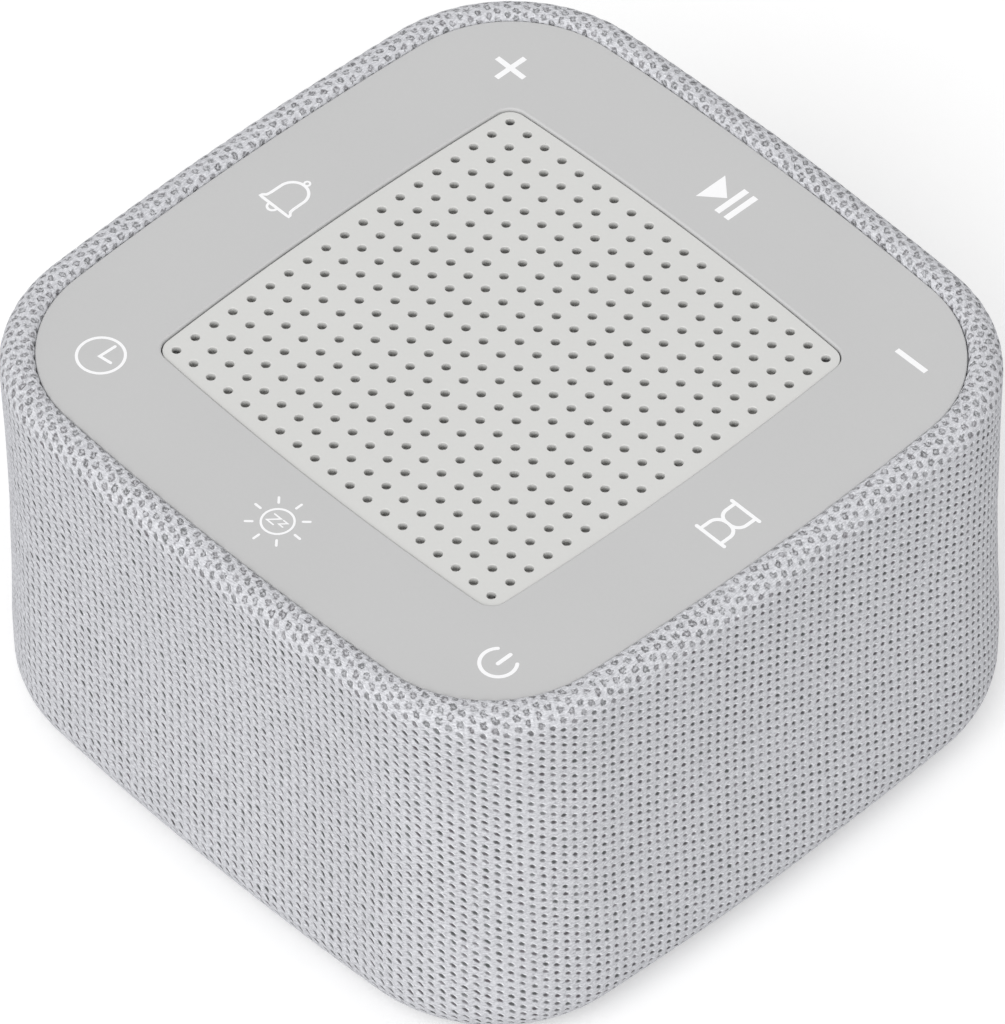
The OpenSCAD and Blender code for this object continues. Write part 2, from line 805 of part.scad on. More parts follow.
module spider() {
    low = [for (i = [0:SPIDER_STEPS]) let (u = i / SPIDER_STEPS)
        [spider_in + (spider_out - spider_in) * u, spider_z(u)]];
    high = [for (i = [SPIDER_STEPS:-1:0]) low[i] + [0, SPIDER_T]];
    color(AMBER) translate([0, 0, flange_z]) rotate_extrude() polygon(concat(low, high));
}

// ---------- boards ----------

module at_main_screws() {
    edge = 4;
    rear_edge = 7.5;
    for (side = [-1, 1], y = [-board_front + edge, board_rear - rear_edge])
        translate([side * (board_x - edge), y, 0]) children();
}

module main_board() {
    color(BOARD) difference() {
        translate([-board_x, -board_front, board_bot])
            cube([2 * board_x, board_front + board_rear, board_t]);
        at_main_screws() translate([0, 0, board_bot - CUT])
            cylinder(r = M2_R + HEAD_FIT / 2, h = board_t + 2 * CUT);
    }
}

module main_board_screws() {
    color(STEEL) translate([0, 0, board_top]) at_main_screws()
        screw(M2_R, M2_HEAD_R, board_t + M2_BITE);
}

// A package that sits on the main board: place of its centre, then its size
module package(x, y, size) {
    translate([x - size[0] / 2, y - size[1] / 2, board_top]) cube(size);
}

module control_chips() {
    color(DARK) {
        package(8, 6, [10, 10, 1.4]);
        package(-6, 10, [6, 5, 1.6]);
        package(20, 12, [5, 6, 1.6]);
        package(6, 30, [6, 5, 1.5]);
        package(-8, 32, [4.5, 4.5, 2.8]);
    }
}

module capacitors() {
    color([0.25, 0.26, 0.30]) for (p = [[18, 22], [24, 26]])
        translate([p[0], p[1], board_top]) cylinder(r = 2.5, h = 7);
}

// The leads' plug, and a ribbon socket at each end of both ribbons
module board_connectors() {
    width = 16;
    depth = 5;
    tall = 2.6;
    color([0.90, 0.88, 0.80]) {
        package(lead_plug_x, lead_plug_y, [7.5, 5, 6]);
        package(-board_x + 3, 0, [depth, width, tall]);
        package(0, -board_front + 3, [width, depth, tall]);
        translate([-ribbon_x, -width / 2, key_board_bot - tall]) cube([depth, width, tall]);
        translate([-width / 2, display_board_y + board_t, display_z0 + 1]) cube([width, tall, depth]);
    }
}

cell_x = -12;
cell_y = -12;
CELL_R = 10;
CELL_H = 3.2;

HOLDER_FLOOR = 1.0;

module cell_holder() {
    wall = 1.5;
    color(DARK) translate([cell_x, cell_y, board_top]) difference() {
        translate([-CELL_R - wall, -CELL_R - wall, 0])
            cube([2 * CELL_R + 2 * wall, 2 * CELL_R + 2 * wall, HOLDER_FLOOR + CELL_H - 0.6]);
        translate([0, 0, HOLDER_FLOOR]) cylinder(r = CELL_R + 0.1, h = CELL_H + CUT);
    }
}

module backup_cell() {
    cap_h = 0.4;
    color(STEEL) translate([cell_x, cell_y, board_top + HOLDER_FLOOR]) {
        cylinder(r = CELL_R, h = CELL_H - cap_h);
        translate([0, 0, CELL_H - cap_h]) cylinder(r = CELL_R - 1, h = cap_h);
    }
}

module power_socket() {
    wall = 0.3;
    depth = 7.3;
    mouth = half_w - 2;
    color(STEEL) difference() {
        rear_stadium(socket_w, socket_h, mouth - depth, mouth);
        rear_stadium(socket_w - 2 * wall, socket_h - 2 * wall, mouth - depth + wall, mouth + CUT);
    }
    tongue = [6.6, 5.0, 0.7];
    color(DARK) translate([-tongue[0] / 2, mouth - depth + wall, socket_z - tongue[2] / 2]) cube(tongue);
}

module port_bezel() {
    face = half_w - 0.05;
    inside = half_w - wall_in - 1.1;
    color(DARK) difference() {
        union() {
            rear_stadium(bezel_w, bezel_h, inside, face);
            rear_stadium(bezel_w + 2, bezel_h + 2, inside, inside + 0.9);
        }
        rear_stadium(socket_w + 0.4, socket_h + 0.4, inside - CUT, face + CUT);
        rear_stadium(bezel_w - 3, bezel_h - 2.6, face - 1.3, face + CUT);
    }
}

// ---------- display ----------

display_face = side_at(wall_in, window_w / 2) - 0.1;
display_board_y = -display_face + reflector_t;
display_z0 = window_z + 3.2;
display_z1 = window_z + window_h - 1.2;
display_mid = (display_z0 + display_z1) / 2;
display_board_w = window_w + 12;
display_screw_x = display_board_w / 2 - 2.2;
display_boss_r = 2.0;
display_boss_h = display_board_y + corner_at(wall_in, display_screw_x) + 1;
display_thread_h = board_t + 4.5;

// Straight through the front wall, smaller by a clearance
module window_prism(gap) {
    r = 2 - gap;
    w = window_w - 2 * gap;
    h = window_h - 2 * gap;
    translate([0, -half_w - CUT, window_z + window_h / 2]) rotate([-90, 0, 0])
        linear_extrude(wall_in + 4) {
            square([w - 2 * r, h], center = true);
            square([w, h - 2 * r], center = true);
            for (sx = [-1, 1], sy = [-1, 1]) translate([sx * (w / 2 - r), sy * (h / 2 - r)]) circle(r);
        }
}

module at_display_screws() {
    for (side = [-1, 1], z = [display_z0 + 3.5, display_z1 - 3.5])
        translate([side * display_screw_x, display_board_y, z]) rotate([90, 0, 0]) children();
}

module display_lens() {
    color([0.18, 0.18, 0.20]) difference() {
        intersection() {
            window_prism(lens_gap);
            shift([0, bow_x, 0]) cylinder(r = side_r - shell_in, h = case_h, $fn = BOW_FN);
        }
        shift([0, bow_x, -CUT]) cylinder(r = side_r - wall_in, h = case_h + 2 * CUT, $fn = BOW_FN);
    }
}

SEGMENTS = [
    // x and z of a segment's middle, as shares of the digit's half width and half height, and 1 if upright
    [0, 1, 0],
    [1, 0.5, 1],
    [1, -0.5, 1],
    [0, -1, 0],
    [-1, -0.5, 1],
    [-1, 0.5, 1],
    [0, 0, 0]
];
digit_x = [-1.5, -0.5, 0.5, 1.5];

// The light channels of four digits and of the colon between them, cut from front to back
module segment_prisms(shrink) {
    colon_room = 1.6;
    colon_z = 4;
    segment_gap = 0.6;
    half_x = (digit_w - segment_w) / 2;
    half_z = (digit_h - segment_w) / 2;
    long_x = digit_w - 2 * segment_w - segment_gap - 2 * shrink;
    long_z = digit_h / 2 - 1.5 * segment_w - segment_gap - 2 * shrink;
    w = segment_w - 2 * shrink;
    for (d = digit_x, s = SEGMENTS)
        let (x = d * digit_pitch + sign(d) * colon_room + s[0] * half_x,
            z = display_mid + s[1] * half_z,
            size_x = s[2] == 1 ? w : long_x,
            size_z = s[2] == 1 ? long_z : w)
        translate([x - size_x / 2, -display_face + shrink, z - size_z / 2])
            cube([size_x, reflector_t - 2 * shrink, size_z]);
    for (z = [-colon_z, colon_z]) translate([0, -display_face + shrink, display_mid + z]) rotate([-90, 0, 0])
        cylinder(r = segment_w / 2 - shrink, h = reflector_t - 2 * shrink);
}

module display_reflector() {
    side_gap = 1.2;
    border = 3;
    color(DARK) difference() {
        translate([-window_w / 2 + side_gap, -display_face, display_mid - digit_h / 2 - border])
            cube([window_w - 2 * side_gap, reflector_t, digit_h + 2 * border]);
        translate([0, -CUT / 2, 0]) segment_prisms(0);
        translate([0, CUT / 2, 0]) segment_prisms(0);
    }
}

module display_segments() {
    color([0.85, 0.85, 0.82]) segment_prisms(0.05);
}

module display_board() {
    color(BOARD) difference() {
        translate([-display_board_w / 2, display_board_y, display_z0])
            cube([display_board_w, board_t, display_z1 - display_z0]);
        at_display_screws() translate([0, 0, -board_t - CUT])
            cylinder(r = M2_R + HEAD_FIT / 2, h = board_t + 2 * CUT);
    }
}

module display_screws() {
    color(STEEL) at_display_screws() translate([0, 0, -board_t]) rotate([180, 0, 0])
        screw(M2_R, M2_HEAD_R, display_thread_h);
}

// ---------- cables inside ----------

ribbon_x = half_w - 14;
RIBBON_T = 0.3;
lead_plug_x = -20;
lead_plug_y = 24;

// A flat cable: its edge-on path, thickened to one side, and its width
module ribbon(path, width) {
    last = len(path) - 1;
    back = [for (i = [last:-1:0])
        let (a = path[max(i - 1, 0)], b = path[min(i + 1, last)], d = (b - a) / norm(b - a))
        path[i] + RIBBON_T * [-d[1], d[0]]];
    linear_extrude(width, center = true) polygon(concat(path, back));
}

RIBBON_W = 12;

module key_ribbon() {
    x = -ribbon_x + 5.4;
    color([0.85, 0.85, 0.85]) rotate([90, 0, 0]) ribbon([
        [x - 0.35, key_board_bot - 1.5],
        [x + 0.5, key_board_bot - 1.6],
        [x + 1.0, key_board_bot - 2.2],
        [x + 1.0, board_top + 3.5],
        [x + 1.3, board_top + 2.0],
        [-board_x + 0.3, board_top + 1.3]
    ], RIBBON_W);
}

module display_ribbon() {
    y = display_board_y + board_t;
    color([0.85, 0.85, 0.85]) rotate([90, 0, 90]) ribbon([
        [y + 2.7, display_z0 + 3.4],
        [y + 3.6, display_z0 + 3.2],
        [-board_front - 0.5, board_top + 2.0],
        [-board_front + 0.2, board_top + 1.3]
    ], RIBBON_W);
}

// Two soldered leads from the loudspeaker's terminals to their plug on the main board
LEAD_R = 0.6;
LEAD_SIDES = 8;

function lead_route(side) = [
    [side * 3, frame_top_r + frame_t + 2.1, flange_z - flange_t - 6.2],
    [side * 3, frame_top_r + frame_t + 3.5, flange_z - flange_t - 10],
    [side * 2 - 4, 28, 32],
    [side * 2 - 12, 28, 25],
    [side * 1.6 + lead_plug_x, lead_plug_y + 0.6, 21.4],
    [side * 1.6 + lead_plug_x, lead_plug_y, board_top + 6.3]
];

function between(a, b, c, d, t) =
    0.5 * (2 * b + (c - a) * t + (2 * a - 5 * b + 4 * c - d) * t * t + (3 * b - a - 3 * c + d) * t * t * t);

function smooth(p, steps) = let (n = len(p) - 1) [
    for (i = [0:n - 1], s = [0:steps - 1])
        between(p[max(i - 1, 0)], p[i], p[i + 1], p[min(i + 2, n)], s / steps),
    p[n]
];

module tube(p, r) {
    n = len(p);
    flat = [for (i = [0:n - 1]) let (d = p[min(i + 1, n - 1)] - p[max(i - 1, 0)]) d / norm(d)];
    across = [for (d = flat) let (c = cross(d, [1, 0.02, 0])) c / norm(c)];
    rings = [for (i = [0:n - 1], k = [0:LEAD_SIDES - 1])
        let (a = 360 * k / LEAD_SIDES) p[i] + r * (cos(a) * across[i] + sin(a) * cross(flat[i], across[i]))];
    sides = [for (i = [0:n - 2], k = [0:LEAD_SIDES - 1])
        let (a = i * LEAD_SIDES + k, b = i * LEAD_SIDES + (k + 1) % LEAD_SIDES)
        [b, a, a + LEAD_SIDES, b + LEAD_SIDES]];
    ends = [
        [for (k = [0:LEAD_SIDES - 1]) k],
        [for (k = [LEAD_SIDES - 1:-1:0]) (n - 1) * LEAD_SIDES + k]
    ];
    polyhedron(rings, concat(sides, ends));
}

module speaker_leads() {
    color([0.65, 0.10, 0.10]) tube(smooth(lead_route(1), 6), LEAD_R);
    color(DARK) tube(smooth(lead_route(-1), 6), LEAD_R);
}

// ---------- nodes ----------

fabric_sleeve();
body_shell();
base_plate();
foot_pads();
base_screws();
top_deck();
deck_screws();
key_mat();
grille();
grille_cloth();
for (k = KEYS) key(k[0]);
for (k = KEYS) stem(k[0]);
switch_bodies();
key_board();
key_board_screws();
key_ribbon();
driver_gasket();
driver_basket();
driver_screws();
driver_terminals();
driver_top_plate();
driver_magnet();
driver_yoke();
driver_cone();
dust_cap();
voice_coil();
cone_surround();
spider();
speaker_leads();
main_board();
main_board_screws();
control_chips();
capacitors();
board_connectors();
cell_holder();
backup_cell();
power_socket();
port_bezel();
display_lens();
display_reflector();
display_segments();
display_board();
display_screws();
display_ribbon();
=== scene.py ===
"""A white noise sound machine: a small square case in a knitted sleeve, with silicone keys round a
perforated grille. Metres, +Z up, -Y the front, +X the user's right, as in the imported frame."""

import math

import bpy
import numpy as np
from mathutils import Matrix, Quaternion, Vector
from mathutils.geometry import delaunay_2d_cdt


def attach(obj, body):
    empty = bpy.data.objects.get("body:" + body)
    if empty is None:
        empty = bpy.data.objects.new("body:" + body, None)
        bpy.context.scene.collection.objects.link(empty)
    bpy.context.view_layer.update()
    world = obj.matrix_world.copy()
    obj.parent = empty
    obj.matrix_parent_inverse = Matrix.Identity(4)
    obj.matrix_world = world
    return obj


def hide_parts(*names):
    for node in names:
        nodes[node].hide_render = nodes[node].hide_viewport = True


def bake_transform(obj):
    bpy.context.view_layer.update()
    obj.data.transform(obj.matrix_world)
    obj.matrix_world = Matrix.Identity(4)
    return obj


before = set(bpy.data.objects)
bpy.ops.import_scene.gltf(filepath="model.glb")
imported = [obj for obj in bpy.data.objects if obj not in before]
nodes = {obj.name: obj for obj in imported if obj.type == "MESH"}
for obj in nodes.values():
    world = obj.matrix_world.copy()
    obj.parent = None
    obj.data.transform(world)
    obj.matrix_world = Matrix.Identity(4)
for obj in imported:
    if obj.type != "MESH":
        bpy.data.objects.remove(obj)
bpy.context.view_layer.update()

# ---------- the photographer's table ----------
# A long lens a good metre away looks down on the near right corner. A broad soft light hangs over the
# front left, and the room gives the rest. The table and the room are white.

scene = bpy.context.scene
scene.view_settings.view_transform = "Standard"

camera = bpy.data.objects.new("camera", bpy.data.cameras.new("camera"))
camera.data.lens = 427.77
camera.data.sensor_width = 36
camera.data.clip_start = 0.05
camera.data.clip_end = 20
camera.location = (0.768826, -0.707550, 1.172952)
camera.rotation_mode = "QUATERNION"
camera.rotation_quaternion = Quaternion((0.85672165, 0.33048568, 0.14845358, 0.36710866))
scene.collection.objects.link(camera)
scene.camera = camera


def rgb(r, g, b):
    """A colour read on a scale of 0 to 255, in linear light."""
    return tuple(
        v / 12.92 if v <= 0.04045 else ((v + 0.055) / 1.055) ** 2.4
        for v in (r / 255, g / 255, b / 255)
    ) + (1,)


class Term:
    """A socket in a node tree. Arithmetic on it adds Math nodes."""

    def __init__(self, tree, socket):
        self.tree = tree
        self.socket = socket

    def maths(self, operation, *terms):
        inputs = dict(enumerate(terms))
        return add(self.tree, "ShaderNodeMath", {"operation": operation}, inputs)

    def __add__(self, other):
        return self.maths("ADD", self, other)

    def __sub__(self, other):
        return self.maths("SUBTRACT", self, other)

    def __rsub__(self, other):
        return self.maths("SUBTRACT", other, self)

    def __mul__(self, other):
        return self.maths("MULTIPLY", self, other)

    def __truediv__(self, other):
        return self.maths("DIVIDE", self, other)

    def __pow__(self, other):
        return self.maths("POWER", self, other)

    __radd__ = __add__
    __rmul__ = __mul__

    def floor(self):
        return self.maths("FLOOR", self)

    def fraction(self):
        return self.maths("FRACT", self)

    def size(self):
        return self.maths("ABSOLUTE", self)

    def sine(self):
        return self.maths("SINE", self)

    def at_least(self, other):
        return self.maths("MAXIMUM", self, other)

    def at_most(self, other):
        return self.maths("MINIMUM", self, other)

    def ease(self, low, high):
        """0 below low, 1 above high, smooth between."""
        return add(
            self.tree,
            "ShaderNodeMapRange",
            {"interpolation_type": "SMOOTHSTEP"},
            {"Value": self, "From Min": low, "From Max": high},
        )


def add(tree, kind, settings=None, inputs=None, out=0):
    """Adds a node: its settings first, then the values or links of its sockets. Returns one output."""
    made = tree.nodes.new(kind)
    for name, value in (settings or {}).items():
        setattr(made, name, value)
    for name, value in (inputs or {}).items():
        if isinstance(value, Term):
            tree.links.new(value.socket, made.inputs[name])
        elif isinstance(value, bpy.types.NodeSocket):
            tree.links.new(value, made.inputs[name])
        else:
            made.inputs[name].default_value = value
    return Term(tree, made.outputs[out]) if made.outputs else None


def seen_directly(tree):
    """1 for what the camera, a reflection or a clear piece sees, 0 for the light on the object."""
    shares = [
        add(tree, "ShaderNodeLightPath", out=name)
        for name in ("Is Camera Ray", "Is Glossy Ray", "Is Transmission Ray")
    ]
    return shares[0].at_least(shares[1]).at_least(shares[2])


ROOM_LIGHT = 0.62
LAMP_LIGHT = 1.72
LAMP_TOWARD = Vector((0.18, -0.35, 0.38))

world = bpy.data.worlds.new("white room")
scene.world = world
world.use_nodes = True
world.node_tree.nodes.clear()
white = seen_directly(world.node_tree)
room = add(
    world.node_tree,
    "ShaderNodeBackground",
    {},
    {"Color": (1, 1, 1, 1), "Strength": ROOM_LIGHT + white * (1 - ROOM_LIGHT)},
)
add(world.node_tree, "ShaderNodeOutputWorld", {}, {"Surface": room})

lamp = bpy.data.objects.new("soft lamp", bpy.data.lights.new("soft lamp", "SUN"))
lamp.data.energy = LAMP_LIGHT
lamp.data.angle = math.radians(50)
lamp.rotation_mode = "QUATERNION"
lamp.rotation_quaternion = LAMP_TOWARD.to_track_quat("Z", "Y")
scene.collection.objects.link(lamp)


def put_mesh(name, points, faces, finish=None, smooth=True, corner_uv=None):
    """Links a new mesh object of these points and faces, in metres."""
    mesh = bpy.data.meshes.new(name)
    mesh.from_pydata([tuple(p) for p in points], [], [tuple(int(i) for i in f) for f in faces])
    if corner_uv is not None:
        layer = mesh.uv_layers.new(name="thread")
        layer.data.foreach_set("uv", np.asarray(corner_uv, np.float32).ravel())
    mesh.shade_smooth() if smooth else mesh.shade_flat()
    made = bpy.data.objects.new(name, mesh)
    scene.collection.objects.link(made)
    if finish:
        mesh.materials.append(finish)
    return made


TABLE_HALF = 4.0
table_finish = bpy.data.materials.new("table")
table_finish.use_nodes = True
tree = table_finish.node_tree
tree.nodes.clear()
paper = add(tree, "ShaderNodeBsdfDiffuse", {}, {"Color": (0.86, 0.86, 0.86, 1)})
lift = add(tree, "ShaderNodeEmission", {}, {"Strength": seen_directly(tree) * 0.24})
both = add(tree, "ShaderNodeAddShader", {}, {0: paper, 1: lift})
add(tree, "ShaderNodeOutputMaterial", {}, {"Surface": both})
table = put_mesh(
    "table",
    [(x * TABLE_HALF, y * TABLE_HALF, 0) for x, y in ((-1, -1), (1, -1), (1, 1), (-1, 1))],
    [(0, 1, 2, 3)],
    table_finish,
    smooth=False,
)

# ---------- knitted sleeve ----------
# A tube of light grey warp knit, pulled over the case and tucked in at the top seam and under the base.
# Its open stitches lie in upright columns, each half a stitch lower than the next. The mesh is closed, so
# each hole is painted dark, partly for the shell behind it and partly as painted shade inside it. They are
# short slanted dashes, drawn longer on the front and back walls as painted shade where the light rakes across
# them, and rounder on the rolled top edge.

MM = 0.001
HALF = 52.0
CORNER_R = 22.5
BOW = math.radians(3.5)
SPAN = (HALF - CORNER_R) / (1 - math.cos(BOW) + math.sin(BOW))
CORNER_C = SPAN * math.sin(BOW)
BOW_C = SPAN * (math.cos(BOW) - math.sin(BOW))
SIDE_R = HALF + BOW_C
SIDE_LEN = 2 * BOW * SIDE_R
QUARTER_LEN = SIDE_LEN + (math.pi / 2 - 2 * BOW) * CORNER_R


def plan_at(along):
    """Point and outward direction on the case's plan, at a distance along it. Millimetres."""
    quarter, rest = divmod(along, QUARTER_LEN)
    if rest < SIDE_LEN:
        turn, centre, radius = rest / SIDE_R - BOW, (-BOW_C, 0), SIDE_R
    else:
        turn, centre, radius = BOW + (rest - SIDE_LEN) / CORNER_R, (CORNER_C, CORNER_C), CORNER_R
    out = Vector((math.cos(turn), math.sin(turn)))
    spin = (quarter % 4) * math.pi / 2
    swing = Vector((math.cos(spin), math.sin(spin)))
    point = Vector(centre) + radius * out
    return (
        Vector((point.x * swing.x - point.y * swing.y, point.x * swing.y + point.y * swing.x)),
        Vector((out.x * swing.x - out.y * swing.y, out.x * swing.y + out.y * swing.x)),
    )


COLUMNS = 256
ROWS = 53
ACROSS = 3
DOWN = 4
CLOTH_T = 0.95
PIT_DEPTH = 0.26
PIT_R = 0.42
TOP = 62.4
ROLL_R = 2.8
INNER_R = 0.9
RING_W = 4.4
UNDER_R = 7.2
UNDER_W = 9.4
UNDER_Z = 1.2
TUCK_Z = 58.0
TUCK_IN = 3.4
stitch_w = 4 * QUARTER_LEN / COLUMNS

# The section from the top seam over the roll, down the wall and under the case. Its three bends turn about
# these points.
inner_at = (-RING_W + INNER_R, TOP - INNER_R)
roll_at = (-ROLL_R, TOP - ROLL_R)
under_at = (-UNDER_R, UNDER_Z + UNDER_R)
legs = [
    (TOP - INNER_R - TUCK_Z, lambda t: ((-RING_W, TUCK_Z + t), (-1, 0))),
    (math.pi / 2 * INNER_R, lambda t: turned(inner_at, INNER_R, math.pi - t / INNER_R)),
    (RING_W - INNER_R - ROLL_R, lambda t: ((-RING_W + INNER_R + t, TOP), (0, 1))),
    (math.pi / 2 * ROLL_R, lambda t: turned(roll_at, ROLL_R, math.pi / 2 - t / ROLL_R)),
    (TOP - ROLL_R - UNDER_R - UNDER_Z, lambda t: ((0, TOP - ROLL_R - t), (1, 0))),
    (math.pi / 2 * UNDER_R, lambda t: turned(under_at, UNDER_R, -t / UNDER_R)),
    (UNDER_W - UNDER_R, lambda t: ((-UNDER_R - t, UNDER_Z), (0, -1))),
    (TUCK_IN, lambda t: ((-UNDER_W, UNDER_Z + t), (-1, 0))),
]
section_len = sum(length for length, _ in legs)
stitch_h = section_len / ROWS


def turned(centre, radius, angle):
    """Point and outward direction on a bend of the section."""
    out = (math.cos(angle), math.sin(angle))
    return (centre[0] + radius * out[0], centre[1] + radius * out[1]), out


def section_at(t):
    """Point and outward direction at a distance along the section."""
    for length, leg in legs[:-1]:
        if t < length:
            return leg(t)
        t -= length
    return legs[-1][1](t)


def wall_slack(z):
    """The sleeve draws in a little at mid height and stands out at the foot."""
    heights = [0, 8, 14, 24, 36, 50, 57, 60]
    slack = [0, 0.25, 0.3, -0.05, -0.3, -0.2, -0.05, 0]
    return float(np.interp(z, heights, slack))


WINDOW_HALF_W = 31
WINDOW_MID_Z = 28.4
WINDOW_HALF_H = 18.4

draw = np.random.default_rng(5)
pit_share = draw.uniform(0.7, 1.2, (COLUMNS, ROWS + 2))
around = COLUMNS * ACROSS
rows_down = ROWS * DOWN + 1
places = [plan_at((k + 0.5) * stitch_w / ACROSS) for k in range(around)]
plan_xy = np.array([p for p, _ in places])
plan_out = np.array([n for _, n in places])
u = (np.arange(around) + 0.5) / ACROSS
column = np.floor(u).astype(int)
outer = []
for j in range(rows_down):
    v = j / DOWN
    (x, z), (nx, nz) = section_at(min(v * stitch_h, section_len))
    lowered = v + 0.5 * (column % 2)
    row = np.floor(lowered).astype(int)
    across_mm = (u - column - 0.5) * stitch_w
    down_mm = (lowered - row - 0.5) * stitch_h
    pit = np.exp(-(across_mm**2 + down_mm**2) / PIT_R**2) * pit_share[column, row]
    end_fade = min(1, v / 1.5, (ROWS - v) / 3)
    push = -PIT_DEPTH * pit * end_fade + 0.05 * end_fade
    # the cloth sinks a little over the display window and ripples round it
    front = np.clip(-plan_out[:, 1], 0, 1) ** 8
    from_window = np.maximum(
        np.abs(plan_xy[:, 0]) - WINDOW_HALF_W, abs(z - WINDOW_MID_Z) - WINDOW_HALF_H
    )
    window = -0.12 / (1 + np.exp(from_window / 1.2)) + 0.06 * np.exp(-((from_window - 3) / 2.5) ** 2)
    push = push + front * window * (nx > 0.99)
    ripple = 0.05 * np.sin(plan_xy[:, 0] * 0.21 + z * 0.13)
    push = push + ripple * np.sin(plan_xy[:, 1] * 0.17 - z * 0.11) * end_fade
    push = push + wall_slack(z) * max(nx, 0)
    xy = plan_xy + plan_out * (x + nx * push)[:, None]
    outer.append(np.column_stack([xy, z + nz * push]))

# The cloth's inner face, from the tuck under the base back up to the top seam
LINING = (
    [(-UNDER_W + CLOTH_T, UNDER_Z + TUCK_IN), (-UNDER_W + CLOTH_T, UNDER_Z + CLOTH_T)]
    + [(-UNDER_R, UNDER_Z + CLOTH_T)]
    + [turned(under_at, UNDER_R - CLOTH_T, a)[0] for a in np.linspace(-1.35, 0, 6)]
    + [(-CLOTH_T, z) for z in (20, 34, 47)]
    + [turned(roll_at, ROLL_R - CLOTH_T, a)[0] for a in np.linspace(0, math.pi / 2, 5)]
    + [turned(inner_at, INNER_R - CLOTH_T, a)[0] for a in np.linspace(1.9, math.pi, 4)]
    + [(-RING_W + CLOTH_T, TUCK_Z)]
)
lining = [np.column_stack([plan_xy + plan_out * x, np.full(around, z)]) for x, z in LINING]
loops = outer + lining
points = np.concatenate(loops) * MM
faces = []
corner_uv = []
count = len(loops)
k0 = np.arange(around)
k1 = (k0 + 1) % around
for j in range(count):
    n = (j + 1) % count
    faces.append(np.column_stack([j * around + k0, n * around + k0, n * around + k1, j * around + k1]))
    va, vb = (j / DOWN, (j + 1) / DOWN) if j < rows_down - 1 else (0, 0)
    ua, ub = u, u + 1 / ACROSS
    around_cell = ((ua, va), (ua, vb), (ub, vb), (ub, va))
    corner_uv.append(np.stack([[a, a * 0 + b] for a, b in around_cell]).transpose(2, 0, 1))


def mix_colour(tree, share, a, b):
    """Mixes two colours by a share from 0 to 1."""
    settings = {"data_type": "RGBA", "clamp_factor": True}
    return add(tree, "ShaderNodeMix", settings, {0: share, 6: a, 7: b}, out=2)


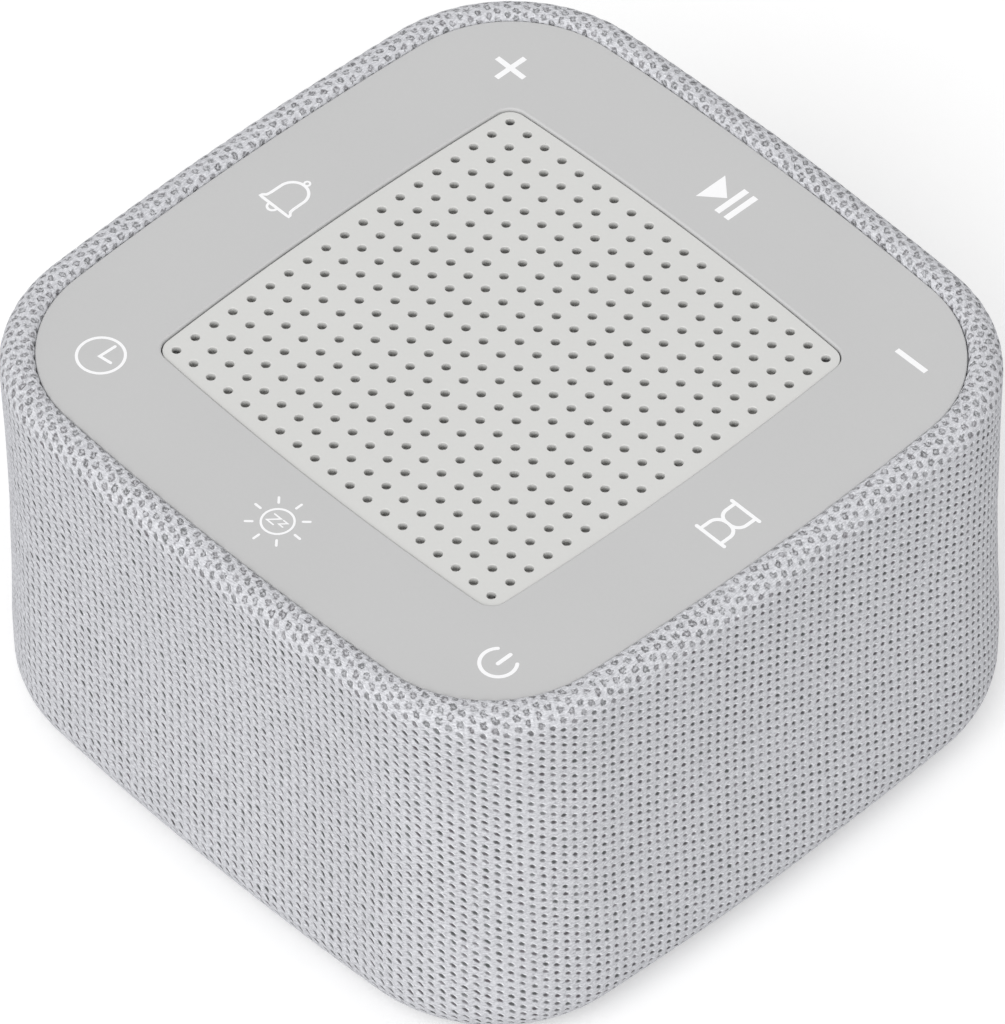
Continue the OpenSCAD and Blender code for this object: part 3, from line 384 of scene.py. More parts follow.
def knit_finish():
    """Slanted holes painted dark in columns, as the shell behind them and painted shade in them, each with a
    painted highlight of a lit thread beside it, on a soft napped ground.
    """
    made = bpy.data.materials.new("grey knit")
    made.use_nodes = True
    tree = made.node_tree
    tree.nodes.clear()
    thread = add(tree, "ShaderNodeUVMap", {"uv_map": "thread"})
    apart = add(tree, "ShaderNodeSeparateXYZ", {}, {0: thread}).socket.node
    across = Term(tree, apart.outputs["X"])
    down = Term(tree, apart.outputs["Y"])
    col = across.floor()
    lowered = down + (col * 0.5).fraction()
    row = lowered.floor()
    cell = add(tree, "ShaderNodeCombineXYZ", {}, {"X": col, "Y": row})
    chance = add(tree, "ShaderNodeTexWhiteNoise", {"noise_dimensions": "2D"}, {"Vector": cell}).socket.node
    parts = add(tree, "ShaderNodeSeparateColor", {}, {0: chance.outputs["Color"]}).socket.node
    luck = [Term(tree, parts.outputs[i]) for i in range(3)]
    shape = add(tree, "ShaderNodeNewGeometry", out="Position")
    down_hair = {"Vector": shape, "Scale": 2600.0, "Detail": 3.0, "Roughness": 0.7}
    nap = add(tree, "ShaderNodeTexNoise", {}, down_hair)
    patch = add(tree, "ShaderNodeTexNoise", {}, {"Vector": shape, "Scale": 60.0, "Detail": 2.0})
    loose = {"Vector": shape, "Scale": 1900.0, "Detail": 1.0}
    warp = add(tree, "ShaderNodeTexNoise", {}, loose, out="Color").socket
    bend = add(tree, "ShaderNodeSeparateColor", {}, {0: warp}).socket.node
    # how far this place is a front or back wall, where the light rakes across the holes: there the holes are
    # painted as longer dark dashes and the fibres slant, a painted shade by wall
    side = add(tree, "ShaderNodeAttribute", {"attribute_name": "painted_rake_shade"}, out="Fac")
    roll = 1 - down.ease(4.8, 7.6)
    stray = 0.2 + roll * 0.62
    stray_x, stray_y = [(Term(tree, bend.outputs[i]) - 0.5) * stray for i in range(2)]
    x = (across - col - 0.5) * stitch_w + (luck[0] - 0.5) * 0.14 + stray_x
    y = (lowered - row - 0.5) * stitch_h + (luck[1] - 0.5) * 0.14 + stray_y
    long_way = (x + y) * 0.7071
    short_way = (x - y) * 0.7071
    # on the front and back walls the painted holes are drawn longer and narrower, as painted shade of the
    # raking light
    long_r = 0.38 + side * 0.09
    short_r = 0.23 - side * 0.02 + roll * 0.14
    reach = ((long_way / long_r) ** 2 + (short_way / short_r) ** 2) ** 0.5
    hole = 1 - reach.ease(0.5, 1.5)
    ring = reach.ease(0.25, 0.85) * (1 - reach.ease(0.9, 1.6))
    speck = 1 - nap.ease(0.42, 0.6)
    # the dark of each hole is painted: partly the shell seen through it, partly painted shade inside it;
    # paler on the rolled top edge, and it also sinks the bump
    hole_depth_and_shade = (hole * (1 - roll * 0.8) + roll * ring * (0.12 + speck * 0.5)) * (0.8 + luck[2] * 0.4)
    # a painted highlight: the lit thread beside each hole, on its upper right, which is also raised a little
    # in the bump
    beside = short_way - short_r - 0.14
    thread_ridge_and_highlight = 1 - ((long_way * 2.0) ** 2 + (beside * 6.0) ** 2).ease(0.0, 1.0)
    lays = []
    for slant in (0, 0.8):
        combed = {"Vector": thread, "Rotation": (0, 0, slant), "Scale": (0.9, 3.2, 1)}
        combed_at = add(tree, "ShaderNodeMapping", {"vector_type": "POINT"}, combed)
        streaks = {"Vector": combed_at, "Scale": 2.4, "Detail": 2.0}
        lays.append(add(tree, "ShaderNodeTexNoise", {}, streaks))
    level, slanted = lays
    fibres = level + (slanted - level) * side
    # the painted highlight, weaker on the rolled top edge
    painted_highlight = thread_ridge_and_highlight * 0.55 * (1 - roll * 0.6)
    tone = (nap - 0.5) * 0.9 + (patch - 0.5) * 0.10 + (fibres - 0.5) * 1.15 + painted_highlight + roll * 0.1
    ground = mix_colour(tree, tone + 0.43, rgb(160, 160, 165), rgb(243, 244, 248))
    # the painted colour of the holes: the shell behind them, darkened by painted shade
    shell_and_hole_shade = mix_colour(tree, luck[1], rgb(86, 89, 89), rgb(94, 88, 93))
    colour = mix_colour(tree, (hole_depth_and_shade * 0.92).at_most(1), ground, shell_and_hole_shade)
    height = nap * 0.2 + fibres * 0.5 - hole_depth_and_shade * 0.75 + thread_ridge_and_highlight * 0.3
    bump = add(tree, "ShaderNodeBump", {}, {"Strength": 1.0, "Distance": 0.00022, "Height": height})
    cloth = add(
        tree,
        "ShaderNodeBsdfPrincipled",
        {},
        {
            "Base Color": colour,
            "Roughness": 0.95,
            "Specular IOR Level": 0.15,
            "Sheen Weight": 0.06,
            "Normal": bump,
        },
    )
    add(tree, "ShaderNodeOutputMaterial", {}, {"Surface": cloth})
    return made


sleeve = put_mesh(
    "knit_sleeve", points, np.concatenate(faces), knit_finish(), corner_uv=np.concatenate(corner_uv)
)
# the share of painted shade by wall, highest on the front and back walls where the light rakes across the
# holes
painted_rake_shade = np.tile(np.clip((np.abs(plan_out[:, 1]) - 0.45) / 0.3, 0, 1), count)
sleeve.data.attributes.new("painted_rake_shade", "FLOAT", "POINT").data.foreach_set("value", painted_rake_shade.astype(np.float32))

# the opening for the power socket's bezel
PORT_Z = 13.23
PORT_W = 16.2
PORT_H = 9.7
PORT_FROM = 47
PORT_TO = 55


def stadium(w, h, steps=24):
    """Outline of a slot with round ends, millimetres, in x and z."""
    r = h / 2
    turns = [math.pi * i / steps for i in range(steps + 1)]
    right = [(w / 2 - r + r * math.sin(a), -r * math.cos(a)) for a in turns]
    return right + [(-px, -pz) for px, pz in right]


def prism(name, outline, low, high, up, finish=None):
    """A closed prism over a flat outline. up maps (a, b, height) in millimetres to a point in metres."""
    n = len(outline)
    pts = [up(a, b, h) for h in (low, high) for a, b in outline]
    sides = [(i, (i + 1) % n, n + (i + 1) % n, n + i) for i in range(n)]
    return put_mesh(name, pts, [tuple(range(n))[::-1], tuple(range(n, 2 * n))] + sides, finish, smooth=False)


cutter = prism(
    "port_cutter",
    stadium(PORT_W, PORT_H),
    PORT_FROM,
    PORT_TO,
    lambda a, b, h: (-a * MM, h * MM, (b + PORT_Z) * MM),
)
cut = sleeve.modifiers.new("port", "BOOLEAN")
cut.object = cutter
cut.operation = "DIFFERENCE"
cut.solver = "EXACT"
graph = bpy.context.evaluated_depsgraph_get()
sleeve.data = bpy.data.meshes.new_from_object(sleeve.evaluated_get(graph))
sleeve.modifiers.clear()
bpy.data.objects.remove(cutter)
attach(sleeve, "root")
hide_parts("fabric_sleeve")

# ---------- plain finishes for the moulded, metal and board pieces ----------


def solid_finish(
    name, colour, roughness, grain=1.0, metallic=0.0, grain_scale=900.0, wear=0.04, scratch=False, coat=0.0
):
    """A finish with a fine grain, a slow drift of tone, and turning marks where it is metal."""
    made = bpy.data.materials.new(name)
    made.use_nodes = True
    tree = made.node_tree
    tree.nodes.clear()
    place = add(tree, "ShaderNodeNewGeometry", out="Position")
    speckle = {"Vector": place, "Scale": grain_scale, "Detail": 3.0, "Roughness": 0.6}
    fine = add(tree, "ShaderNodeTexNoise", {}, speckle)
    slow = add(tree, "ShaderNodeTexNoise", {}, {"Vector": place, "Scale": 45.0, "Detail": 3.0})
    height = fine
    if scratch:
        stretched = add(tree, "ShaderNodeMapping", {}, {"Vector": place, "Scale": (40, 1800, 400)})
        marks = add(tree, "ShaderNodeTexNoise", {}, {"Vector": stretched, "Scale": 1.0, "Detail": 2.0})
        height = fine * 0.4 + marks
    low = tuple(c * (1 - wear) for c in colour[:3]) + (1,)
    high = tuple(min(1, c * (1 + wear)) for c in colour[:3]) + (1,)
    shade = mix_colour(tree, (slow * 0.6 + fine * 0.4).ease(0.3, 0.7), low, high)
    bump = add(tree, "ShaderNodeBump", {}, {"Strength": 0.6, "Distance": 0.00002 * grain, "Height": height})
    rough = (roughness - 0.06) + slow * 0.12
    body = add(
        tree,
        "ShaderNodeBsdfPrincipled",
        {},
        {"Base Color": shade, "Roughness": rough, "Metallic": metallic, "Coat Weight": coat, "Normal": bump},
    )
    add(tree, "ShaderNodeOutputMaterial", {}, {"Surface": body})
    return made


def dress(finish, *names):
    """Gives CAD nodes their finish."""
    for name in names:
        nodes[name].data.materials.clear()
        nodes[name].data.materials.append(finish)


def soften(width, *names):
    """Rounds the moulded edges of CAD nodes, which arrive sharp."""
    for name in names:
        weld = nodes[name].modifiers.new("weld", "WELD")
        weld.merge_threshold = 1e-6
        bevel = nodes[name].modifiers.new("edges", "BEVEL")
        bevel.width = width * MM
        bevel.segments = 2
        bevel.limit_method = "ANGLE"
        bevel.angle_limit = math.radians(40)
        bevel.harden_normals = False


# ---------- key mat and keys ----------
# One skin of soft-touch grey silicone, moulded in one piece with its keys. It lies on the deck inside the
# sleeve's rolled edge. Each key is the same skin with a thicker disc under it, and shows only by its print.

MAT_TOP = 61.7
MAT_BOTTOM = 60.1
MAT_IN = 4.5
OPEN_HALF = 31.8
OPEN_R = 2.6
PATCH_R = 5.2
PAD_R = 4.3
DISH = 0.006
WEB_T = 0.7
PLUNGER_R = 1.9
RIM_ROUND = 0.22
LIP_ROUND = 0.25
KEYS = {
    "plus": (-35.5, 35.1),
    "play": (0.4, 39.0),
    "minus": (36.8, 35.8),
    "timer": (40.7, 0.1),
    "power": (37.8, -36.5),
    "snooze": (1.7, -39.7),
    "clock": (-34.4, -36.5),
    "alarm": (-38.4, -1.0),
}

silicone = solid_finish(
    "soft grey silicone", rgb(197, 197, 197), 0.62, grain=0.5, grain_scale=2600.0, wear=0.012
)
key_ink = solid_finish(
    "white key print", rgb(250, 250, 251), 0.5, grain=0.3, grain_scale=2600.0, wear=0.008
)


def bowed_outline(half, r, per_side=24, per_corner=24):
    """Plan of a square with round corners and slightly bowed sides, millimetres."""
    span = (half - r) / (1 - math.cos(BOW) + math.sin(BOW))
    c, b = span * math.sin(BOW), span * (math.cos(BOW) - math.sin(BOW))
    along_side = np.linspace(-BOW, BOW, per_side + 1)[:-1]
    quarter = [(-b + (half + b) * math.cos(a), (half + b) * math.sin(a)) for a in along_side]
    round_corner = np.linspace(BOW, math.pi / 2 - BOW, per_corner + 1)[:-1]
    quarter += [(c + r * math.cos(a), c + r * math.sin(a)) for a in round_corner]
    whole = []
    for turn in range(4):
        cs, sn = [(1, 0), (0, 1), (-1, 0), (0, -1)][turn]
        whole += [(x * cs - y * sn, x * sn + y * cs) for x, y in quarter]
    return whole


def circle_outline(centre, r, steps=64):
    """Points round a whole circle."""
    turns = [2 * math.pi * i / steps for i in range(steps)]
    return [(centre[0] + r * math.cos(a), centre[1] + r * math.sin(a)) for a in turns]


def filled(loops_xy):
    """Triangles inside the first of some flat loops and outside the rest. Each corner is a place in the
    loops, counted one after the other."""
    coords = [Vector(p) for loop in loops_xy for p in loop]
    inputs, start = [], 0
    for loop in loops_xy:
        inputs.append(list(range(start, start + len(loop))))
        start += len(loop)
    made = delaunay_2d_cdt(coords, [], inputs, 1, 1e-6)
    first = [ids[0] for ids in made[3]]
    return [tuple(first[i] for i in tri) for tri, within in zip(made[2], made[5]) if list(within) == [0]]


def moulded_plate(name, rim, openings, finish):
    """A flat plate. Its rim and each opening are rings from the top down, each an outline and its height."""
    pts, polys, ends = [], [], []
    for n, rings in enumerate([rim] + openings):
        levels = []
        for outline, z in rings:
            levels.append(list(range(len(pts), len(pts) + len(outline))))
            pts += [(x, y, z) for x, y in outline]
        for ring, nxt in zip(levels, levels[1:]):
            polys += band(ring, nxt, n == 0)
        ends.append((levels[0], levels[-1]))
    walls = len(polys)
    for end, order in ((0, 1), (1, -1)):
        ids = [i for pair in ends for i in pair[end]]
        tris = filled([[pts[i][:2] for i in pair[end]] for pair in ends])
        polys += [tuple(ids[i] for i in tri)[::order] for tri in tris]
    made = put_mesh(name, np.array(pts) * MM, polys, finish)
    flat = made.data.attributes.new("sharp_face", "BOOLEAN", "FACE")
    flat.data.foreach_set("value", [i >= walls for i in range(len(polys))])
    return made


def band(ring, nxt, outward):
    """Four-sided faces between one ring of corners and the next."""
    n = len(ring)
    quads = [(ring[i], nxt[i], nxt[(i + 1) % n], ring[(i + 1) % n]) for i in range(n)]
    return quads if outward else [q[::-1] for q in quads]


def rounded(outline_at, top, bottom, edge, outward):
    """Rings of a rounded edge and the upright wall under it. outline_at gives the outline grown by a
    distance."""
    rings = []
    for turn in (0, 22.5, 45, 67.5, 90):
        angle = math.radians(turn)
        back = edge * (1 - math.sin(angle))
        rings.append((outline_at(-back if outward else back), top - edge * (1 - math.cos(angle))))
    return rings + [(rings[-1][0], bottom)]


def bowed(half, r):
    """A bowed square that rounded() can grow or shrink."""
    return lambda d: bowed_outline(half + d, r + d)


mat = moulded_plate(
    "silicone_mat",
    rounded(bowed(HALF - MAT_IN, CORNER_R - MAT_IN), MAT_TOP, MAT_BOTTOM, RIM_ROUND, True),
    [rounded(bowed(OPEN_HALF, OPEN_R), MAT_TOP, MAT_BOTTOM, LIP_ROUND, False)]
    + [[(circle_outline(at, PATCH_R), z) for z in (MAT_TOP, MAT_BOTTOM)] for at in KEYS.values()],
    silicone,
)
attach(mat, "root")
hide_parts("key_mat")


def lathe(name, profile, finish, centre=(0, 0), steps=96, smooth=True):
    """Revolves a closed profile of (radius, height), millimetres, about an upright axis."""
    pts, rows = [], []
    for r, z in profile:
        if r < 1e-6:
            rows.append([len(pts)] * steps)
            pts.append((centre[0], centre[1], z))
        else:
            rows.append(list(range(len(pts), len(pts) + steps)))
            pts += [(x, y, z) for x, y in circle_outline(centre, r, steps)]
    polys = []
    for a, b in zip(rows, rows[1:] + rows[:1]):
        for i in range(steps):
            n = (i + 1) % steps
            poly = list(dict.fromkeys([a[i], b[i], b[n], a[n]]))
            if len(poly) > 2:
                polys.append(poly)
    return put_mesh(name, np.array(pts) * MM, polys, finish, smooth)


STEM_TOP = 58.9
for name, centre in KEYS.items():
    rise = [(PAD_R + (PATCH_R - PAD_R) * s, MAT_TOP - DISH * (1 - s)) for s in (0, 0.25, 0.5, 0.75, 1)]
    profile = (
        [(0, MAT_TOP - DISH), (2.2, MAT_TOP - DISH)]
        + rise
        + [(PATCH_R, MAT_TOP - WEB_T), (PAD_R + 0.15, MAT_TOP - WEB_T), (PAD_R, MAT_TOP - WEB_T - 0.15)]
        + [(PAD_R, MAT_BOTTOM), (PLUNGER_R, MAT_BOTTOM), (PLUNGER_R, STEM_TOP), (0, STEM_TOP)]
    )
    key = lathe(f"key_skin_{name}", profile[::-1], silicone, centre, steps=64)
    key.data.set_sharp_from_angle(angle=math.radians(30))
    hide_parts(f"key_{name}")
    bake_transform(key)

# The legends are screen printed in white, and read upright from the front. Millimetres from the key's middle.
INK_LOW = MAT_TOP - DISH + 0.002
INK_T = 0.02


def ink(name, key, outline, layer=0):
    """One printed shape as a thin film over a key."""
    cx, cy = KEYS[key]
    area = sum(ax * by - bx * ay for (ax, ay), (bx, by) in zip(outline, outline[1:] + outline[:1]))
    outline = outline if area > 0 else outline[::-1]
    film = prism(
        f"print_{key}_{name}",
        outline,
        INK_LOW,
        INK_LOW + INK_T + 0.002 * layer,
        lambda a, b, h: ((cx + a) * MM, (cy + b) * MM, h * MM),
        key_ink,
    )
    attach(film, f"key_{key}_body")


def round_end(before, end, w):
    """Half a circle round the end of a line, from its left side to its right."""
    ahead = math.atan2(end[1] - before[1], end[0] - before[0])
    turns = [ahead + math.radians(turn) for turn in (60, 30, 0, -30, -60)]
    return [(end[0] + w / 2 * math.cos(turn), end[1] + w / 2 * math.sin(turn)) for turn in turns]


def stroke(path, w, closed=False):
    """Outline, or outer and inner outlines, of a line of width w along a path."""
    n = len(path)
    left, right = [], []
    for i, p in enumerate(path):
        a = path[i - 1] if i or closed else None
        b = path[(i + 1) % n] if i < n - 1 or closed else None
        dirs = [Vector((q[0] - o[0], q[1] - o[1])).normalized() for o, q in ((a, p), (p, b)) if o and q]
        normals = [Vector((-d.y, d.x)) for d in dirs]
        across = sum(normals, Vector((0, 0))).normalized()
        across *= min(1 / max(across.dot(normals[0]), 0.3), 2.5) * w / 2
        left.append((p[0] + across.x, p[1] + across.y))
        right.append((p[0] - across.x, p[1] - across.y))
    if not closed:
        return [left + round_end(path[-2], path[-1], w) + right[::-1] + round_end(path[1], path[0], w)]
    # a closed line is cut into two open halves, so that each film has one outline
    half = n // 2
    first = left[: half + 1] + right[: half + 1][::-1]
    second = left[half:] + [left[0]] + ([right[0]] + right[half:][::-1])
    return [first, second]


def arc(cx, cy, r, a0, a1, steps=32):
    """Points along a circle from one angle to another, in degrees."""
    turns = [math.radians(a0 + (a1 - a0) * i / steps) for i in range(steps + 1)]
    return [(cx + r * math.cos(a), cy + r * math.sin(a)) for a in turns]


def ring(cx, cy, r, steps=48):
    """A whole circle as a path that closes."""
    return arc(cx, cy, r, 0, 360, steps)[:-1]


def print_lines(key, *lines):
    """Prints lines, each a path, its width, and whether it closes."""
    for i, (path, w, closed) in enumerate(lines):
        for j, outline in enumerate(stroke(path, w, closed)):
            ink(f"{i}{'ab'[j]}", key, outline, layer=i % 5)


def bar(x0, y0, x1, y1):
    """Outline of an upright rectangle."""
    return [(x0, y0), (x1, y0), (x1, y1), (x0, y1)]


LINE = 0.5
HAIR = 0.3
arm = 0.38
reach = 2.53
cross = [(-reach, -arm), (-arm, -arm), (-arm, -reach), (arm, -reach), (arm, -arm), (reach, -arm)]
cross += [(-x, -y) for x, y in cross]
ink("cross", "plus", [(x + 0.05, y + 0.07) for x, y in cross])
ink("bar", "minus", bar(-2.6, -0.23, 2.6, 0.53))
ink("arrow", "play", [(-2.98, -2.55), (0.05, 0.04), (-2.98, 2.63)])
ink("bar_a", "play", bar(0.42, -2.6, 1.3, 2.7))
ink("bar_b", "play", bar(2.08, -2.6, 2.96, 2.7))
bulb = [(-1.8, 2.9), (-1.8, 1.9)] + arc(-0.35, 1.45, 1.45, 180, 270, 12) + [(0, 0)]
bulb += arc(0.35, 1.45, 1.45, 270, 360, 12) + [(1.8, 2.9)]
print_lines(
    "timer",
    ([(-2.45, 3.15), (2.45, 3.15)], LINE, False),
    ([(-2.45, -2.9), (2.45, -2.9)], LINE, False),
    ([(x, y + 0.13) for x, y in bulb], LINE, False),
    ([(x, 0.13 - y) for x, y in bulb], LINE, False),
)
print_lines(
    "power",
    (arc(-0.06, 0.45, 2.34, 138, 400, 40), LINE, False),
    ([(0.03, 0.3), (0.03, 2.4)], 0.56, False),
)
eighths = [(math.cos(math.pi / 4 * i), math.sin(math.pi / 4 * i)) for i in range(8)]
rays = [[(away * x + 0.05, away * y + 0.05) for away in (3.15, 4.05)] for x, y in eighths]
print_lines(
    "snooze",
    (ring(0.05, 0.05, 2.1), HAIR, True),
    *[(ray, 0.34, False) for ray in rays],
    ([(-1.15, 0.65), (0.05, 0.65), (-1.15, -0.7), (0.05, -0.7)], 0.2, False),
    ([(0.45, 0.7), (1.2, 0.7), (0.45, -0.15), (1.2, -0.15)], 0.18, False),
)
print_lines("clock", (ring(0, 0, 3.08), 0.4, True), ([(0.1, 2.3), (0, -0.2), (1.8, 0.02)], 0.42, False))
flare = [(-2.3, -2.25), (-2.62, -2.2), (-2.58, -1.95), (-2.2, -1.55), (-2.1, -0.9)]
bell = flare + arc(0, 0.85, 2.08, 180, 0, 28) + [(-x, y) for x, y in flare[::-1]]
print_lines(
    "alarm",
    (bell, 0.42, True),
    (arc(0, 3.42, 0.38, -60, 240, 16), 0.28, False),
    (arc(-0.15, -2.42, 0.72, 185, 355, 14), 0.34, False),
)

# ---------- grille, deck and dust cloth ----------
# The grille is a moulded plate, a touch warmer and lighter than the mat, and lies a little lower in its
# opening. A thin pale speaker cloth lies under it, and the deck's tray carries the loudspeaker.

GRILLE_HALF = 31.65
GRILLE_R = 2.45
GRILLE_TOP = 61.3
GRILLE_BOTTOM = 60.1
GRILLE_EDGE = 0.12
HOLE_R = 0.6
HOLE_PITCH = 3.2
HOLES_OUT = 9


def round_hole(x, y):
    """A hole of the grille that rounded() can grow or shrink."""
    return lambda d: circle_outline((x, y), HOLE_R + d, 24)


steps_out = range(-HOLES_OUT, HOLES_OUT + 1)
grille = moulded_plate(
    "moulded_grille",
    rounded(bowed(GRILLE_HALF, GRILLE_R), GRILLE_TOP, GRILLE_BOTTOM, GRILLE_EDGE, True),
    [
        rounded(
            round_hole(i * HOLE_PITCH, j * HOLE_PITCH), GRILLE_TOP, GRILLE_BOTTOM, GRILLE_EDGE, False
        )
        for i in steps_out
        for j in steps_out
    ],
    solid_finish("grille plastic", rgb(214, 214, 212), 0.5, grain=0.8, grain_scale=1800.0, wear=0.012),
)
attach(grille, "root")
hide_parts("grille")
shell_plastic = solid_finish("moulded shell plastic", rgb(120, 121, 124), 0.5, grain_scale=1400.0)
dress(shell_plastic, "body_shell", "top_deck")
dress(solid_finish("moulded base plastic", rgb(176, 177, 178), 0.55, grain_scale=1400.0), "base_plate")
soften(0.25, "base_plate")


def woven_finish(name, dark, light, pitch):
    """A plain weave, over and under, in X and Y."""
    made = bpy.data.materials.new(name)
    made.use_nodes = True
    tree = made.node_tree
    tree.nodes.clear()
    place = add(tree, "ShaderNodeNewGeometry", out="Position")
    xyz = add(tree, "ShaderNodeSeparateXYZ", {}, {0: place}).socket.node
    wave = math.pi / (pitch * MM)
    warp = (Term(tree, xyz.outputs["X"]) * wave).sine()
    weft = (Term(tree, xyz.outputs["Y"]) * wave).sine()
    over = (warp * weft) * 0.5 + 0.5
    open_weave = (warp.size() * weft.size()).ease(0.05, 0.5)
    height = over * open_weave
    bump = add(tree, "ShaderNodeBump", {}, {"Strength": 0.9, "Distance": 0.0001, "Height": height})
    colour = mix_colour(tree, height, dark, light)
    body = add(tree, "ShaderNodeBsdfPrincipled", {}, {"Base Color": colour, "Roughness": 0.9, "Normal": bump})
    add(tree, "ShaderNodeOutputMaterial", {}, {"Surface": body})
    return made


CLOTH_HALF = 30.0
CLOTH_LOW = 59.82
CLOTH_HIGH = 60.08
cloth_plan = bowed_outline(CLOTH_HALF, 2, 12, 8)
dust_cloth = prism(
    "dust_cloth",
    cloth_plan,
    CLOTH_LOW,
    CLOTH_HIGH,
    lambda a, b, h: (a * MM, b * MM, h * MM),
    woven_finish("speaker cloth", rgb(186, 185, 183), rgb(222, 221, 219), 0.35),
)
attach(dust_cloth, "root")
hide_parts("grille_cloth")

# ---------- base, feet and screws ----------
# The base plate screws to posts in the shell. Four rubber feet are glued into its pockets. All screws are
# plated steel with a cross recess.

dress(
    solid_finish("black foot rubber", rgb(46, 46, 47), 0.8, grain=2.0, grain_scale=1200.0, wear=0.1),
    "foot_pads",
)
dress(
    solid_finish("plated screw steel", rgb(198, 200, 204), 0.3, metallic=1.0, scratch=True),
    "base_screws",
    "deck_screws",
    "key_board_screws",
    "driver_screws",
    "main_board_screws",
    "display_screws",
)

# ---------- key board ----------
# A ring-shaped circuit board under the mat with one tact switch a key, screwed up against the deck's bosses.


def board_finish(name, mask, track):
    """Solder mask over etched tracks, with tinned pads."""
    made = bpy.data.materials.new(name)
    made.use_nodes = True
    tree = made.node_tree
    tree.nodes.clear()
    place = add(tree, "ShaderNodeNewGeometry", out="Position")
    lanes = add(
        tree,
        "ShaderNodeTexBrick",
        {"offset": 0.35, "squash": 0.6},
        {
            "Vector": place,
            "Scale": 420.0,
            "Mortar Size": 0.035,
            "Mortar Smooth": 0.2,
            "Brick Width": 2.4,
            "Row Height": 0.5,
        },
        out="Fac",
    )
    dots = {"Vector": place, "Scale": 380.0, "Randomness": 0.8}
    cells = add(tree, "ShaderNodeTexVoronoi", {"feature": "F1"}, dots, out="Distance")
    zones = add(tree, "ShaderNodeTexNoise", {}, {"Vector": place, "Scale": 120.0, "Detail": 1.0})
    tracks = lanes * zones.ease(0.42, 0.5)
    pads = (1 - cells.ease(0.10, 0.14)) * zones.ease(0.5, 0.56)
    copper = mix_colour(tree, tracks, mask, track)
    colour = mix_colour(tree, pads, copper, rgb(205, 205, 200))
    height = tracks * 0.6 + pads
    bump = add(tree, "ShaderNodeBump", {}, {"Strength": 0.7, "Distance": 0.00004, "Height": height})
    rough = 0.42 - pads * 0.12
    body = add(
        tree,
        "ShaderNodeBsdfPrincipled",
        {},
        {"Base Color": colour, "Roughness": rough, "Metallic": pads * 0.8, "Normal": bump},
    )
    add(tree, "ShaderNodeOutputMaterial", {}, {"Surface": body})
    return made


boards = board_finish("green board", rgb(24, 84, 52), rgb(48, 122, 78))
dress(boards, "key_board", "main_board", "display_board")
dress(
    solid_finish("black switch plastic", rgb(38, 38, 40), 0.45, grain_scale=1500.0, wear=0.1),
    "switch_bodies",
)
dress(
    solid_finish("pale switch stem", rgb(190, 186, 178), 0.4, grain_scale=1500.0),
    *[f"stem_{k}" for k in KEYS],
)

# ---------- loudspeaker ----------
# A full-range driver, 54 mm across its frame: pressed steel basket, ferrite ring between two steel plates, a
# paper cone with a rubber surround above and a corrugated cotton spider below, and a wound coil in the gap.

dress(solid_finish("basket steel", rgb(160, 162, 165), 0.4, metallic=0.9, grain_scale=700.0), "driver_basket")
dress(
    solid_finish("zinc plate", rgb(188, 190, 192), 0.35, metallic=1.0, scratch=True),
    "driver_top_plate",
    "driver_yoke",
)
dress(solid_finish("ferrite", rgb(62, 62, 64), 0.6, grain=2.5, grain_scale=500.0, wear=0.12), "driver_magnet")
dress(
    solid_finish("pressed paper", rgb(52, 50, 50), 0.85, grain=6.0, grain_scale=350.0, wear=0.14),
    "driver_cone",
    "dust_cap",
)
dress(
    solid_finish("wound copper", rgb(190, 112, 62), 0.35, metallic=0.9, grain=3.0, grain_scale=2500.0),
    "voice_coil",
)
dress(
    solid_finish("foam gasket", rgb(44, 44, 45), 0.95, grain=5.0, grain_scale=1600.0, wear=0.15),
    "driver_gasket",
)
dress(solid_finish("terminal strip", rgb(206, 170, 112), 0.5, grain_scale=900.0), "driver_terminals")

FLANGE_Z = 52.2
CONE_R = 18.2
LAND_R = 20.4
roll_mid = (CONE_R + LAND_R) / 2
roll_r = (LAND_R - CONE_R) / 2 + 0.2
skin = 0.4
land_z = FLANGE_Z - 0.8
edge_z = FLANGE_Z - 2.6
over = [(roll_mid + roll_r * math.cos(a), land_z + roll_r * math.sin(a)) for a in np.linspace(0, math.pi, 17)]
under_r = roll_r - skin
back_turn = np.linspace(math.pi, 0, 17)
below = [(roll_mid + under_r * math.cos(a), land_z + under_r * math.sin(a)) for a in back_turn]
surround_profile = (
    [(22.7, land_z + 0.02), (22.7, land_z + skin), (roll_mid + roll_r + 0.1, land_z + skin)]
    + over[2:]
    + [(roll_mid - roll_r, edge_z + skin), (CONE_R - 1.2, edge_z + skin)]
    + [(CONE_R - 1.2, edge_z + 0.02), (roll_mid - roll_r + skin, edge_z + 0.02)]
    + below
    + [(roll_mid + roll_r - skin, land_z + 0.02)]
)
surround = lathe(
    "rubber_surround",
    surround_profile,
    solid_finish("surround rubber", rgb(34, 34, 36), 0.55, grain=1.0, grain_scale=1200.0, wear=0.1),
)
surround.data.set_sharp_from_angle(angle=math.radians(50))
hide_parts("cone_surround")
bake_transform(surround)

SPIDER_IN = 6.43
SPIDER_OUT = 15.5
SPIDER_T = 0.28
spider_low = FLANGE_Z - 12
waves = [i / 64 for i in range(65)]


def spider_height(v):
    """Height of the spider's lower face, from its inner edge (0) to its outer edge (1)."""
    return spider_low + 0.02 + (1 - v) ** 2 + 0.12 * (1 - v) * (1 - math.cos(2 * math.pi * 4 * v))


lower_side = [(SPIDER_IN + (SPIDER_OUT - SPIDER_IN) * v, spider_height(v)) for v in waves]
upper_side = [(r, z + SPIDER_T) for r, z in lower_side]
spider = lathe(
    "cotton_spider",
    upper_side[::-1] + lower_side,
    woven_finish("spider cotton", rgb(150, 112, 58), rgb(206, 168, 104), 0.4),
)
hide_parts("spider")
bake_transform(spider)

# ---------- main board ----------
# The control board stands on four posts of the base plate, with its chips, two capacitors, a coin cell that
# keeps the clock, and the sockets that the ribbons and the speaker's leads plug into.

